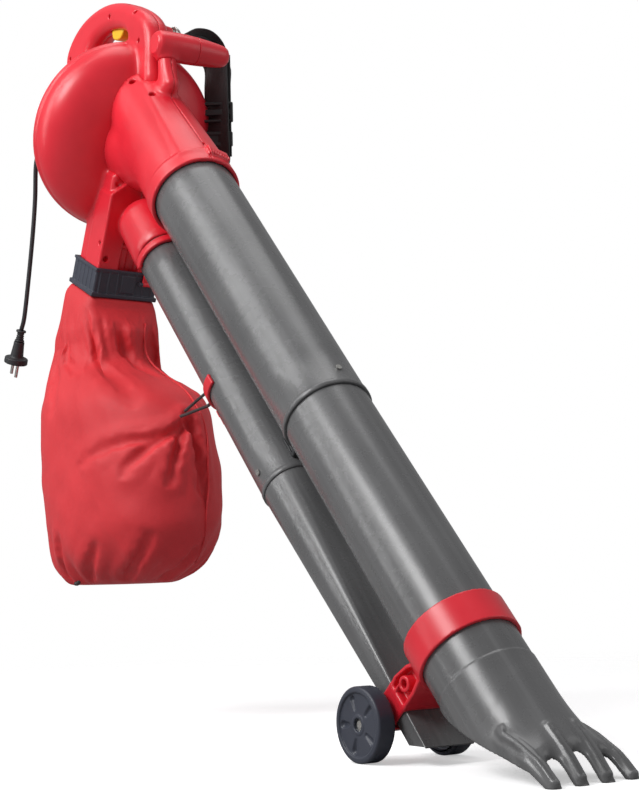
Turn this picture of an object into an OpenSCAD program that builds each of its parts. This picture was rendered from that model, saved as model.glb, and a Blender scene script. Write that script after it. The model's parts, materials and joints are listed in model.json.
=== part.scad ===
// Leaf vacuum mulcher, standing on its two wheels and the rake of its suction nozzle.
// +X is forward, +Y the machine's left, +Z up. The origin is on the floor, midway between the wheels.

/* [Stance] */
// Slope of both tubes below the horizontal, in degrees
tube_tilt = 47.5; // [47.25:0.25:47.75]
// Slope of the fan's axis below the horizontal, in degrees
fan_tilt = 26; // [25.75:0.25:26.25]

/* [Wheels] */
// Diameter of a wheel
wheel_d = 76; // [75:0.5:76]
// Width of a wheel
wheel_w = 20; // [18:1:22]
// Distance between the wheels' outer faces
track_w = 124; // [122:1:130]
// Diameter of the axle
axle_d = 8; // [6:0.5:9]

/* [Tubes] */
// Distance from the wheel axle to the suction tube's axis
suction_off = 125; // [125:0.5:126]
// Distance from the wheel axle to the blow tube's axis
blow_off = 18; // [17:0.5:18]
// Distance along the tubes from the axle to the joint between the upper and lower tubes
seam_s = 325; // [320:1:330]
// Distance along the tubes from the axle to the edge of the housing's sockets
collar_s = 763; // [762:0.5:764]
// Outer radius of the suction tube at its lower end
suction_r = 52.5; // [52.4:0.1:52.7]
// Outer radius of the suction tube at the housing
suction_top_r = 55.5; // [55:0.1:55.6]
// Outer radius of the suction nozzle
nozzle_r = 51; // [50.8:0.1:51]
// Outer radius of the blow tube at its lower end
blow_r = 34.6; // [34.5:0.1:34.7]
// Outer radius of the blow tube at the housing
blow_top_r = 36.8; // [36.5:0.1:36.9]
// Wall thickness of the tubes
tube_wall = 2.2; // [2:0.1:2.3]
// Length of one tube inside the next
overlap_len = 40; // [30:1:45]

/* [Nozzles] */
// Width of the blow nozzle's slot, outside
slot_w = 62; // [60:1:63]
// Depth of the blow nozzle's slot, outside
slot_d = 20; // [19:0.5:21]
// Height of the suction mouth above the floor
mouth_z = 36; // [34:1:38]
// Height of the blow nozzle's end above the floor
slot_z = 19; // [17:1:21]
// Distance of the rake's tips ahead of the axle
rake_x = 272; // [270:1:276]
// Half the width of the rake
rake_half = 54; // [52:1:56]
// Distance between the centres of neighbouring tines
tine_pitch = 31; // [30:0.5:32]

/* [Fan case] */
// Largest radius of the fan case
case_r = 133; // [132:0.5:134]
// Height of the case's dome in front of its rim
dome_h = 64; // [63:0.5:65]
// Wall thickness of the mouldings
shell = 3; // [2.6:0.1:3.2]
// Outer radius of the motor bay
bay_r = 60; // [59:0.5:61]
// Radius of the impeller
impeller_r = 92; // [88:1:93]

/* [Chute and bag] */
// Half the width of the outlet chute, across the machine
chute_half = 44.5; // [44:0.5:45]
// Back face of the chute, ahead of the case's rim
chute_z0 = 24; // [23:0.5:25]
// Front face of the chute, ahead of the case's rim
chute_z1 = 94; // [93:0.5:95]
// Distance from the fan's axis to the top of the bag collar
collar_x = 174; // [172:1:176]
// Height of the bag collar
collar_h = 40; // [38:1:42]
// Half the bag's length, front to back
bag_a = 175; // [168:1:178]
// Half the bag's width, side to side
bag_b = 116; // [110:1:118]

/* [Handles] */
// Thickness of the loop handle
handle_w = 34; // [32:1:36]
// Height of the front grip's axis above the floor
grip_z = 918; // [917:0.5:920]
// Length of the front grip to the left of its post
grip_len = 95; // [92:1:100]
// Largest radius of the front grip
grip_r = 20; // [18:0.5:20]
// Travel of the trigger, in degrees
trigger_travel = 7; // [6:0.5:8]

/* [Hidden] */
$fn = 64;

plastic_red = [0.88, 0.13, 0.19];
tube_grey = [0.40, 0.40, 0.41];
dark_blue = [0.25, 0.27, 0.34];
steel = [0.70, 0.70, 0.72];
copper = [0.72, 0.42, 0.24];
black = [0.08, 0.08, 0.09];
yellow = [1.0, 0.82, 0.15];

axle_h = wheel_d / 2;
gap = 0.1;                    // clearance between fixed neighbours
run_gap = 0.05;               // radial clearance of a running fit
up = [-cos(tube_tilt), 0, sin(tube_tilt)];
neck_len = 90;                // collar edge to the bend, along the tubes
fan_arm = 169.5;              // bend to the case's rim plane, along the fan's axis
bend = tube_pt(suction_off, collar_s + neck_len);
fan_c = bend - fan_arm * fan_dir(1, 0);

// A point q above the axle across the tubes and s up along them
function tube_pt(q, s) = [q * sin(tube_tilt), 0, axle_h + q * cos(tube_tilt)] + s * up;

// Vector with component a along the fan's axis, forward, and b away from it, downward
function fan_dir(a, b) =
  [a * cos(fan_tilt) - b * sin(fan_tilt), 0, -a * sin(fan_tilt) - b * cos(fan_tilt)];

// Points of an arc in a plane, from angle a0 to a1
function arc(c, r, a0, a1, n) = [for (i = [0 : n]) let (a = a0 + (a1 - a0) * i / n)
  [c[0] + r * cos(a), c[1] + r * sin(a)]];

// Outline of the dome: a superellipse from the rim to the axis, and a shallow back
dome_power = 2.6;
dome_steps = 10;
function dome(r, h, back) = concat([[0, -back], [r - 22, -back], [r - 6, -back * 0.72], [r, 0]],
  [for (i = [1 : dome_steps]) let (a = 90 * i / dome_steps)
    [r * pow(cos(a), 2 / dome_power), h * pow(sin(a), 2 / dome_power)]]);

// Frame of the tubes: +Z up along them, +X away from the ground
module in_tube(q, s) {
  translate([0, 0, axle_h]) rotate([0, tube_tilt - 90, 0]) translate([q, 0, s]) children();
}

// Frame of the fan: +Z forward along its axis, +X down
module in_fan(z = 0) {
  translate(fan_c) rotate([0, 90 + fan_tilt, 0]) translate([0, 0, z]) children();
}

// A straight round bar between two points
module bar(a, b, r1, r2, fn = 24) {
  d = b - a;
  len = norm(d);
  translate(a)
    rotate([0, acos(d[2] / len), atan2(d[1], d[0])])
      cylinder(h = len, r1 = r1, r2 = r2, $fn = fn);
}

module ring(r_out, r_in, h) {
  difference() {
    cylinder(h = h, r = r_out);
    translate([0, 0, -1]) cylinder(h = h + 2, r = r_in);
  }
}

// Keeps what lies on one side of the middle plane: side -1 is the right, +1 the left
module half(side) {
  far = 1500;
  intersection() {
    children();
    translate([-far, side > 0 ? gap / 4 : -far - gap / 4, -far]) cube([2 * far, far, 3 * far]);
  }
}

// ---- housing ----

module case_solid(grow = 0) {
  in_fan() rotate_extrude($fn = 120) polygon(dome(case_r + grow, dome_h + grow, 12 + grow));
}

handle_outline = concat(
  [[-598, 880], [-526, 870], [-526, 946], [-534, 964], [-556, 985]],
  arc([-690, 850], 186, 57, 98, 8),
  arc([-756, 975], 58, 102, 185, 6),
  [[-800, 930], [-740, 880]]);
handle_opening = concat(
  [[-566, 936], [-566, 948], [-576, 964], [-600, 977], [-645, 986], [-700, 991]],
  arc([-748, 968], 22, 100, 190, 5),
  [[-765, 955], [-716, 944], [-655, 921], [-616, 930]]);

module handle_plate(grow = 0) {
  rotate([90, 0, 0]) linear_extrude(height = handle_w + 2 * grow, center = true) difference() {
    polygon(handle_outline);
    polygon(handle_opening);
  }
}

bay_end = 118;
socket_r = 40.5;
elbow_r = 42;
socket_len = 84;
blow_bend = tube_pt(blow_off, collar_s + socket_len);
duct_x = 101;                 // blow passage below the fan's axis

module chute_block(x0, x1, inset) {
  w = chute_half - inset;
  translate([x0, -w, chute_z0 + inset])
    cube([x1 - x0, 2 * w, chute_z1 - chute_z0 - 2 * inset]);
}

screw_spots = [[-576, 989], [-540, 940], [-700, 1014], [-784, 966]];
chute_screw_spots = [[72, 84], [160, 60]];

module screw_hole(depth) {
  rotate([-90, 0, 0]) cylinder(h = depth + 14, r = 2);
  translate([0, 1, 0]) rotate([90, 0, 0]) cylinder(h = 40, r = 4.2);
}

trigger_pivot = [-603, 0, 994];

module housing_solid() {
  case_solid();
  in_fan(-bay_end) cylinder(h = bay_end - 2, r = bay_r);
  handle_plate();
  in_fan() chute_block(58, 200, 0);
  in_tube(blow_off, collar_s) cylinder(h = socket_len, r = socket_r);
  translate(blow_bend) sphere(r = elbow_r);
  in_fan(60) translate([duct_x, 0, 0]) cylinder(h = 76, r = 35);
  translate([strap_eye[0], handle_w / 2 - 1, strap_eye[2]]) rotate([-90, 0, 0])
    cylinder(h = 11, r = 8);
}

module housing_void() {
  in_fan() rotate_extrude($fn = 120) polygon(dome(case_r - shell, dome_h - shell, 9));
  in_fan(-bay_end + shell) cylinder(h = bay_end - shell + 1, r = bay_r - shell);
  in_fan(20) cylinder(h = 60, r = 48);
  in_fan() chute_block(60, 210, shell);
  in_tube(blow_off, collar_s - 1) cylinder(h = overlap_len, r = blow_top_r + 0.5);
  in_tube(blow_off, collar_s) cylinder(h = socket_len, r = 33.5);
  translate(blow_bend) sphere(r = elbow_r - shell - 1);
  in_fan(60) translate([duct_x, 0, 0]) cylinder(h = 76, r = 31.5);
  // seat of the vent cover, under the root of the handle
  in_fan(-bay_end - 12) cylinder(h = 12, r = bay_r - 1.4);
  // slots through the end wall of the motor bay
  in_fan(-bay_end - 1) for (a = [0 : 30 : 330])
    rotate([0, 0, a]) translate([22, -2.5, 0]) cube([28, 5, shell + 2]);
  // room for the trigger and its switch
  translate(trigger_pivot + [-52, -9, -24]) cube([61, 18, 32 + 36 * sin(trigger_travel)]);
  translate(trigger_pivot + [-93, -9, 4]) cube([44, 18, 17]);
  translate(trigger_pivot + [0, -14, 0]) rotate([-90, 0, 0]) cylinder(h = 28, r = 2 + run_gap);
  // bearings of the flap's shaft
  in_fan(flap_z) translate([flap_x, -chute_half - 1, 0])
    rotate([-90, 0, 0]) cylinder(h = 2 * chute_half + 2, r = flap_shaft_r + run_gap);
  // eye for the shoulder strap
  translate([strap_eye[0], 4, strap_eye[2]]) rotate([-90, 0, 0]) cylinder(h = 40, r = 4);
  // seat of the cord guard
  bar(cord_exit - 20 * cord_dir, cord_exit + 12 * cord_dir, 6.1, 6.1, 32);
  for (p = screw_spots) translate([p[0], -handle_w / 2 + 5, p[1]]) screw_hole(10);
  in_fan() for (p = chute_screw_spots) translate([p[0], -chute_half + 2, p[1]]) {
    rotate([90, 0, 0]) cylinder(h = 12, r = 4.2);
    rotate([-90, 0, 0]) cylinder(h = 4, r = 2);
  }
}

module housing(side) {
  half(side) difference() {
    housing_solid();
    housing_void();
  }
}

module housing_right() { color(plastic_red) housing(-1); }
module housing_left() { color(plastic_red) housing(1); }

module rear_vent_cover() {
  color(plastic_red) in_fan(-bay_end - 10) difference() {
    cylinder(h = 10 - gap, r1 = bay_r - 8, r2 = bay_r - 2);
    translate([0, 0, 3]) cylinder(h = 10, r = bay_r - 11);
    for (a = [0 : 20 : 340])
      rotate([0, 0, a]) translate([16, -1.5, -1]) cube([26, 3, 6]);
  }
}

module housing_screw() {
  translate([0, 0.2, 0]) rotate([90, 0, 0]) cylinder(h = 4, r = 3.9);
  rotate([-90, 0, 0]) cylinder(h = 20, r = 1.8);
}

module housing_screws() {
  color(steel) {
    for (p = screw_spots) translate([p[0], -handle_w / 2 + 5.7, p[1]]) housing_screw();
    in_fan() for (p = chute_screw_spots) translate([p[0], -chute_half + 1.8, p[1]])
      rotate([90, 0, 0]) cylinder(h = 1.6, r = 3.9);
  }
}

// ---- intake neck ----

neck_r = 59;
neck_top_r = 54;
neck_reach = 250;
eye_r = 52;
post_x = -500;
post_r = 11;
post_top = grip_z - grip_r - 1.5;

module neck_solid() {
  in_tube(suction_off, collar_s) cylinder(h = neck_reach, r1 = neck_r, r2 = neck_top_r);
  in_fan(40) cylinder(h = fan_arm - 40, r = eye_r);
  translate(bend) sphere(r = eye_r + 2);
  translate([post_x, 0, post_top - 60]) cylinder(h = 60, r = post_r);
  // ribbed catch on top of the collar
  in_tube(suction_off + neck_r - 4, collar_s + 6) translate([0, -14, 0]) cube([7, 28, 14]);
}

module neck_void() {
  in_tube(suction_off, collar_s - 1) cylinder(h = overlap_len + 2, r = suction_top_r + 0.6);
  in_tube(suction_off, collar_s + 30) cylinder(h = 190, r1 = 53, r2 = 49);
  in_fan(40) cylinder(h = fan_arm - 40, r = eye_r - 4);
  translate(bend) sphere(r = eye_r - 2);
  translate([post_x, 0, post_top - 30]) cylinder(h = 31, r = 4 + gap);
  case_solid(gap);
  handle_plate(gap);
}

module neck(side) {
  half(side) difference() {
    neck_solid();
    neck_void();
    in_fan() for (a = neck_screw_angles) rotate([0, 0, a])
      translate([neck_screw_r, 0, 40]) cylinder(h = 60, r = 2);
  }
}

neck_screw_r = 50;
neck_screw_angles = [-40, 40, -90, 90];

module neck_right() { color(plastic_red) neck(-1); }
module neck_left() { color(plastic_red) neck(1); }

module neck_screws() {
  color(steel) in_fan() for (a = neck_screw_angles) rotate([0, 0, a])
    translate([neck_screw_r, 0, dome_h + 2]) cylinder(h = 14, r = 1.8);
}

// ---- motor ----

shaft_r = 4;
bearing_r = 11;
bearing_w = 7;
rear_bearing_z = -111;
front_bearing_z = -20;

module motor_stator() {
  color(steel) in_fan(-86) ring(46, 27, 46);
}

module rotor_core() {
  color(copper) in_fan(-86) ring(26, shaft_r + gap, 46);
}

module motor_shaft() {
  color(steel) in_fan(rear_bearing_z) cylinder(h = 168, r = shaft_r);
}

module commutator() {
  color(copper) in_fan(-101) ring(12, shaft_r + gap, 12);
}

module carbon_brushes() {
  color(black) in_fan(-98) for (s = [-1, 1])
    translate([-4, s > 0 ? 12 + gap : -22 - gap, 0]) cube([8, 10, 6]);
}

module brush_holders() {
  color("peru") in_fan(-99.2) for (s = [-1, 1])
    translate([-6, s > 0 ? 14 : -30, 0]) difference() {
      cube([12, 16, 8.4]);
      translate([2 - gap, s > 0 ? -1 : 7.8, 1.2 - gap]) cube([8 + 2 * gap, 9.2, 6 + 2 * gap]);
    }
}

module bearing() {
  ring(bearing_r, bearing_r - 2.2, bearing_w);
  ring(shaft_r + 2, shaft_r + 0.02, bearing_w);
  translate([0, 0, bearing_w / 2]) for (a = [0 : 45 : 315])
    rotate([0, 0, a]) translate([7.4, 0, 0]) sphere(r = 1.35, $fn = 24);
}

module front_bearing() { color(steel) in_fan(front_bearing_z) bearing(); }
module rear_bearing() { color(steel) in_fan(rear_bearing_z) bearing(); }

module bearing_carrier() {
  color("dimgray") in_fan() difference() {
    union() {
      translate([0, 0, -6]) cylinder(h = 6, r = 72);
      translate([0, 0, front_bearing_z - 2]) cylinder(h = 18, r = 15);
    }
    translate([0, 0, front_bearing_z - 3]) cylinder(h = bearing_w + 3 + gap, r = bearing_r + 0.03);
    translate([0, 0, -14]) cylinder(h = 20, r = shaft_r + 2);
  }
}

module rear_bracket() {
  color("dimgray") in_fan(-bay_end + shell + gap) difference() {
    union() {
      ring(bay_r - shell - gap, bay_r - shell - 6, 10);
      for (a = [0, 90, 180, 270])
        rotate([0, 0, a]) translate([12, -5, 0]) cube([bay_r - shell - 16, 10, 3]);
      cylinder(h = 10, r = 14);
    }
    translate([0, 0, 3.7]) cylinder(h = 10, r = bearing_r + 0.03);
    translate([0, 0, -1]) cylinder(h = 12, r = shaft_r + 2);
  }
}

module cooling_fan() {
  color("dimgray") in_fan(-34) {
    ring(14, shaft_r + gap, 9);
    difference() {
      cylinder(h = 1.6, r = 40);
      translate([0, 0, -1]) cylinder(h = 4, r = 13);
    }
    for (a = [0 : 36 : 324]) rotate([0, 0, a]) translate([13.5, -1, 0]) cube([26, 2, 9]);
  }
}

module impeller() {
  color("silver") in_fan(6) difference() {
    union() {
      cylinder(h = 3, r = impeller_r);
      cylinder(h = 32, r = 14);
      for (a = [0 : 60 : 300]) rotate([0, 0, a]) translate([13, -1.5, 0])
        rotate([0, 0, -12]) cube([impeller_r - 15, 3, 36]);
    }
    translate([0, 0, -1]) cylinder(h = 40, r = shaft_r + gap);
  }
}

module shredder_blade() {
  color(steel) in_fan(43) difference() {
    union() {
      translate([-40, -9, 0]) cube([80, 18, 3]);
      translate([0, 0, -4.9]) cylinder(h = 7.9, r = 9);
    }
    translate([0, 0, -6]) cylinder(h = 12, r = shaft_r + gap);
  }
}

module impeller_nut() {
  color(steel) in_fan(46 + gap) difference() {
    cylinder(h = 7, r = 7.5, $fn = 6);
    translate([0, 0, -1]) cylinder(h = 9, r = shaft_r + gap);
  }
}

// ---- trigger and switch ----

trigger_outline = [[8, 5], [-34, 7], [-47, -2], [-46, -10], [-36, -19], [-24, -21], [-12, -14], [6, -6]];

module trigger() {
  color(yellow) translate(trigger_pivot) difference() {
    rotate([90, 0, 0]) linear_extrude(height = 16, center = true) polygon(trigger_outline);
    rotate([90, 0, 0]) cylinder(h = 30, r = 2 + run_gap, center = true);
    translate([-14, -5, -12]) cube([14.5, 10, 24]);
    rotate([90, 0, 0]) cylinder(h = 10, r = 4.3, center = true);
  }
}

module trigger_pin() {
  color(steel) translate(trigger_pivot) rotate([90, 0, 0]) cylinder(h = 27, r = 2, center = true);
}

module trigger_spring() {
  color(steel) translate(trigger_pivot) rotate([90, 0, 0])
    for (i = [-3 : 3]) translate([0, 0, i]) rotate_extrude($fn = 32) translate([3.4, 0]) circle(r = 0.55, $fn = 16);
}

module power_switch() {
  color(black) translate(trigger_pivot + [-92, -7, 6]) cube([36, 14, 13]);
}

// ---- changeover flap ----

flap_x = 140;
flap_z = 86;
flap_shaft_r = 3;
flap_len = 70;

module changeover_flap() {
  color(plastic_red) in_fan(flap_z) difference() {
    union() {
      translate([-flap_len, -chute_half + shell + 1, 0])
        translate([flap_x, 0, -1.25]) cube([flap_len, 2 * (chute_half - shell - 1), 2.5]);
      translate([flap_x, -chute_half + shell + 1, 0]) rotate([-90, 0, 0])
        cylinder(h = 2 * (chute_half - shell - 1), r = 4.6);
    }
    translate([flap_x, -60, 0]) rotate([-90, 0, 0]) cylinder(h = 120, r = flap_shaft_r + gap);
  }
}

module flap_shaft() {
  color(steel) in_fan(flap_z) translate([flap_x, -chute_half + 0.5, 0]) rotate([-90, 0, 0])
    cylinder(h = 2 * chute_half + 14, r = flap_shaft_r);
}

module changeover_lever() {
  color(yellow) in_fan(flap_z) translate([flap_x, chute_half + 1.5, 0]) difference() {
    union() {
      rotate([-90, 0, 0]) cylinder(h = 12, r = 10);
      translate([-5, 2, 0]) cube([10, 8, 34]);
      translate([0, 2, 34]) rotate([-90, 0, 0]) cylinder(h = 12, r = 8);
    }
    translate([0, -1, 0]) rotate([-90, 0, 0]) cylinder(h = 13.6, r = flap_shaft_r + gap);
  }
}

// ---- front grip ----

grip_seam = 42;
grip_profile = [[0, -20], [15, -20], [17, -18], [18.5, -6], [grip_r, 12], [grip_r, 30], [19.4, grip_seam],
  [0, grip_seam]];
cap_profile = [[0, grip_seam + gap], [19.4, grip_seam + gap], [18.4, 60], [16.4, 76],
  [14.6, grip_len - 8], [12, grip_len - 2], [8, grip_len], [0, grip_len]];

module front_grip() {
  color(plastic_red) translate([post_x, 0, grip_z]) difference() {
    union() {
      rotate([-90, 0, 0]) rotate_extrude() polygon(grip_profile);
      translate([0, 0, -grip_r - 1.4]) cylinder(h = 14, r = 14);
    }
    translate([0, 0, -30]) cylinder(h = 60, r = 4 + run_gap);
    translate([0, 0, 11]) cylinder(h = 20, r = 8);
  }
}

module front_grip_cap() {
  color(plastic_red) translate([post_x, 0, grip_z])
    rotate([-90, 0, 0]) rotate_extrude() polygon(cap_profile);
}

module grip_bolt() {
  color(steel) translate([post_x, 0, post_top - 29.5]) {
    cylinder(h = grip_z + 11 - post_top + 29.5, r = 4);
    translate([0, 0, grip_z + 11.2 - post_top + 29.5]) cylinder(h = 5, r = 7);
    translate([0, 0, grip_z + 10 - post_top + 29.5]) cylinder(h = 2, r = 4);
  }
}

// ---- tubes ----

module tube_shell(q, s0, s1, r0, r1) {
  in_tube(q, s0) difference() {
    union() {
      cylinder(h = s1 - s0, r1 = r0, r2 = r1);
      cylinder(h = 7, r = r0 + 1);
      translate([0, 0, 7]) cylinder(h = 3, r1 = r0 + 1, r2 = r0);
    }
    translate([0, 0, -1]) cylinder(h = s1 - s0 + 2, r1 = r0 - tube_wall, r2 = r1 - tube_wall);
  }
}

module suction_tube() {
  color(tube_grey) difference() {
    tube_shell(suction_off, seam_s, collar_s + overlap_len, suction_r, suction_top_r + 0.2);
    in_tube(suction_off, seam_s + 25) rotate([0, 90, 0]) cylinder(h = 80, r = 2.2);
  }
}

module blow_tube() {
  color(tube_grey) difference() {
    tube_shell(blow_off, seam_s, collar_s + overlap_len - 5, blow_r, blow_top_r + 0.2);
    in_tube(blow_off, seam_s + 25) rotate([90, 0, 0]) cylinder(h = 80, r = 2.2);
  }
}

module rake() {
  plate_top = [[150, 34], [158, 44], [190, 55], [222, 53], [246, 42], [260, 25], [rake_x, 2], [rake_x, 0]];
  plate_low = [[rake_x - 7, 0], [253, 22], [242, 34], [220, 46], [190, 47], [166, 34]];
  difference() {
    rotate([90, 0, 0]) linear_extrude(height = 2 * rake_half, center = true)
      polygon(concat(plate_top, plate_low));
    for (y = [-tine_pitch, 0, tine_pitch]) {
      translate([246, y - 8.5, -1]) cube([60, 17, 80]);
      translate([246, y, -1]) cylinder(h = 80, r = 8.5);
    }
    in_tube(suction_off, -300) cylinder(h = 400, r = nozzle_r - tube_wall);
  }
}

module suction_nozzle() {
  spigot_r = suction_r - tube_wall - gap;
  color(tube_grey) difference() {
    union() {
      difference() {
        union() {
          in_tube(suction_off, -180) cylinder(h = 180 + seam_s - gap, r = nozzle_r);
          in_tube(suction_off, seam_s - 2) cylinder(h = 2 + overlap_len, r = spigot_r);
          in_tube(suction_off, -180) cylinder(h = 120, r = nozzle_r + 0.9);
        }
        in_tube(suction_off, -200) cylinder(h = 600, r = nozzle_r - tube_wall);
        translate([-100, -200, mouth_z - 400]) cube([600, 400, 400]);
      }
      rake();
    }
    in_tube(suction_off, seam_s + 25) rotate([0, 90, 0]) cylinder(h = 80, r = 2.2);
  }
}

module slot_section(inset) {
  corner = 4;
  w = slot_w / 2 - corner;
  d = slot_d / 2 - corner;
  in_tube(slot_q, -75) for (sx = [-1, 1], sy = [-1, 1])
    translate([sx * d, sy * w, 0]) cylinder(h = 1, r = corner - inset, $fn = 16);
}

slot_q = 29;

module blow_nozzle() {
  spigot_r = blow_r - tube_wall - gap;
  color(tube_grey) difference() {
    union() {
      hull() {
        in_tube(blow_off, seam_s - 3 - gap) cylinder(h = 3, r = blow_r - 0.6, $fn = 40);
        slot_section(0);
      }
      in_tube(blow_off, seam_s - 2) cylinder(h = 2 + overlap_len, r = spigot_r);
    }
    hull() {
      in_tube(blow_off, seam_s - 3) cylinder(h = 3, r = blow_r - 0.6 - tube_wall, $fn = 40);
      translate([0.7, 0, -0.7]) slot_section(2);
    }
    in_tube(blow_off, seam_s - 2) cylinder(h = 6 + overlap_len, r = spigot_r - tube_wall);
    in_tube(blow_off, seam_s - 30) cylinder(h = 40, r = spigot_r - tube_wall - 2);
    translate([-200, -200, slot_z - 200]) cube([500, 400, 200]);
    in_tube(blow_off, seam_s + 25) rotate([90, 0, 0]) cylinder(h = 80, r = 2.2);
  }
}

module tube_clip() {
  color(black) difference() {
    in_tube(0, seam_s + 14) translate([48, -9, 0]) cube([30, 18, 34]);
    in_tube(suction_off, seam_s) cylinder(h = 100, r = suction_r + 0.5);
    in_tube(blow_off, seam_s) cylinder(h = 100, r = blow_r + 0.45);
  }
}

module tube_screw() {
  cylinder(h = 4.2, r = 2.1);
  translate([0, 0, 4.2]) cylinder(h = 1.6, r = 3.6);
}

module tube_screws() {
  color(black) {
    in_tube(suction_off, seam_s + 25) rotate([0, 90, 0]) translate([0, 0, suction_r - 3.8]) tube_screw();
    in_tube(blow_off, seam_s + 25) rotate([90, 0, 0]) translate([0, 0, blow_r - 3.8]) tube_screw();
  }
}

// ---- wheels ----

ring_s0 = -22.5;
ring_s1 = 13.5;
wheel_in = track_w / 2 - wheel_w;
hub_recess = 6;

module wheel_bracket() {
  wall = 3;
  box_q0 = 9.8;
  box_q1 = 43;
  box_y = slot_w / 2 + 1.2;
  color(plastic_red) difference() {
    union() {
      in_tube(suction_off, ring_s0) cylinder(h = ring_s1 - ring_s0, r = nozzle_r + gap + 3.6);
      in_tube(0, -17) translate([box_q0 - wall, -box_y - wall, 0])
        cube([box_q1 - box_q0 + 2 * wall, 2 * (box_y + wall), 38]);
      in_tube(0, -17) translate([box_q1, -34, 0]) cube([34, 68, 16]);
      rotate([90, 0, 0]) translate([0, axle_h, 0]) cylinder(h = 2 * wheel_in - 1, r = 9, center = true);
      in_tube(0, -9) translate([0, -30, 0]) cube([12, 60, 18]);
    }
    in_tube(suction_off, -60) cylinder(h = 120, r = nozzle_r + gap);
    in_tube(0, -40) translate([box_q0, -box_y, 0]) cube([box_q1 - box_q0, 2 * box_y, 80]);
    rotate([90, 0, 0]) translate([0, axle_h, 0])
      cylinder(h = track_w + 20, r = axle_d / 2 + run_gap, center = true);
    for (s = [-1, 1]) translate([0, 0, axle_h]) rotate([0, tube_tilt - 90, 0])
      translate([58, s * 24, -30]) cylinder(h = 60, r = 3);
    in_tube(suction_off, -60) cylinder(h = 43, r = nozzle_r + 0.9 + gap);
  }
}

module axle() {
  color(steel) translate([0, 0, axle_h]) rotate([90, 0, 0])
    cylinder(h = track_w - 6, r = axle_d / 2, center = true);
}

// A wheel about the origin, +Z its outward side
module wheel() {
  r = wheel_d / 2;
  difference() {
    rotate_extrude($fn = 96) polygon([[axle_d / 2 + run_gap, 0], [r - 2.5, 0], [r, 2.5], [r, wheel_w - 3.5],
      [r - 3.5, wheel_w], [14, wheel_w], [14, wheel_w - 2], [11, wheel_w], [9, wheel_w],
      [9, wheel_w - hub_recess], [axle_d / 2 + run_gap, wheel_w - hub_recess]]);
    for (i = [0 : 4]) rotate([0, 0, 72 * i + 20]) translate([23, 0, wheel_w - 5]) {
      translate([-4, -2.6, 0]) cube([8, 5.2, 6]);
      translate([-4, 0, 0]) cylinder(h = 6, r = 2.6);
      translate([4, 0, 0]) cylinder(h = 6, r = 2.6);
    }
  }
}

module wheel_at(side) {
  translate([0, side * wheel_in, axle_h]) rotate([side > 0 ? -90 : 90, 0, 0]) wheel();
}

module wheel_right() { color(dark_blue) wheel_at(-1); }
module wheel_left() { color(dark_blue) wheel_at(1); }

module wheel_clips() {
  color(steel) for (s = [-1, 1])
    translate([0, s * (track_w / 2 - hub_recess + 0.3), axle_h]) rotate([s > 0 ? -90 : 90, 0, 0])
      ring(7, axle_d / 2 + 0.01, 1.2);
}

// ---- bag ----

collar_wall = 4.4;
latch_x = collar_x + 16;
latch_y = 26;

// The latch's hinge line, in the fan's frame
module in_latch(y) {
  translate([latch_x, latch_y + y, chute_z1 + collar_wall + 3]) rotate([-90, 0, 0]) children();
}

module collar_block(x0, x1, grow) {
  w = chute_half + grow;
  translate([x0, -w, chute_z0 - grow]) cube([x1 - x0, 2 * w, chute_z1 - chute_z0 + 2 * grow]);
}

module bag_collar() {
  color(dark_blue) in_fan() difference() {
    union() {
      collar_block(collar_x, collar_x + collar_h, collar_wall);
      collar_block(collar_x + collar_h - 5, collar_x + collar_h, collar_wall + 2.5);
      in_latch(-5.4) cylinder(h = 2, r = 3.2);
      in_latch(13.6) cylinder(h = 2, r = 3.2);
      for (y = [-5.4, 13.6]) translate([latch_x - 3.2, latch_y + y, chute_z1 + collar_wall - 0.5])
        cube([6.4, 2, 3.5]);
    }
    collar_block(collar_x - 1, 203.2, 0.25);
    collar_block(200, collar_x + collar_h + 1, -4);
    in_latch(-6) cylinder(h = 24, r = 1.52);
  }
}

module collar_seal() {
  color(black) in_fan() difference() {
    collar_block(200.1, 203.1, 0.1);
    collar_block(199, 205, -3.8);
  }
}

module bag_latch() {
  color(plastic_red) in_fan() difference() {
    union() {
      translate([collar_x - 8, latch_y - 3, chute_z1 + collar_wall + 1]) cube([latch_x - collar_x + 9, 16.2, 3]);
      in_latch(-3) cylinder(h = 16.2, r = 2.9);
    }
    in_latch(-4) cylinder(h = 20, r = 1.5 + run_gap);
  }
}

module latch_pin() {
  color(steel) in_fan() in_latch(-5.2) cylinder(h = 20.6, r = 1.5);
}

bag_c = [-628, 0, 0];

module bag_slice(z, a, b, dx) {
  translate([bag_c[0] + dx, 0, z]) for (i = [0 : 15])
    translate([(a - 30) * cos(22.5 * i), (b - 30) * sin(22.5 * i), 0]) sphere(r = 30, $fn = 12);
}

module collection_bag() {
  color("indianred") {
    hull() {
      in_fan() collar_block(collar_x + collar_h + gap, collar_x + collar_h + 4, -8);
      bag_slice(555, 84, 70, -74);
      bag_slice(490, 95, 83, -90);
    }
    hull() {
      bag_slice(455, 108, 90, -66);
      bag_slice(408, bag_a - 9, bag_b - 5, -22);
      bag_slice(330, bag_a, bag_b, -2);
      bag_slice(260, bag_a - 9, bag_b - 6, 6);
      bag_slice(222, bag_a - 52, bag_b - 32, -8);
      translate([bag_c[0] + 208, 0, 410]) sphere(r = 12, $fn = 12);
    }
  }
}

hook_s = 503;

module bag_hook() {
  color(plastic_red) difference() {
    union() {
      in_tube(blow_off, hook_s) cylinder(h = 16, r = 39.5);
      in_tube(blow_off - 45, hook_s + 2) translate([0, -4, 0]) cube([8, 8, 12]);
    }
    in_tube(blow_off, hook_s - 1) cylinder(h = 18, r = 35.8);
    in_tube(blow_off + 8, hook_s - 1) translate([0, -60, 0]) cube([80, 120, 18]);
  }
}

// ---- mains cord ----

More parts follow.
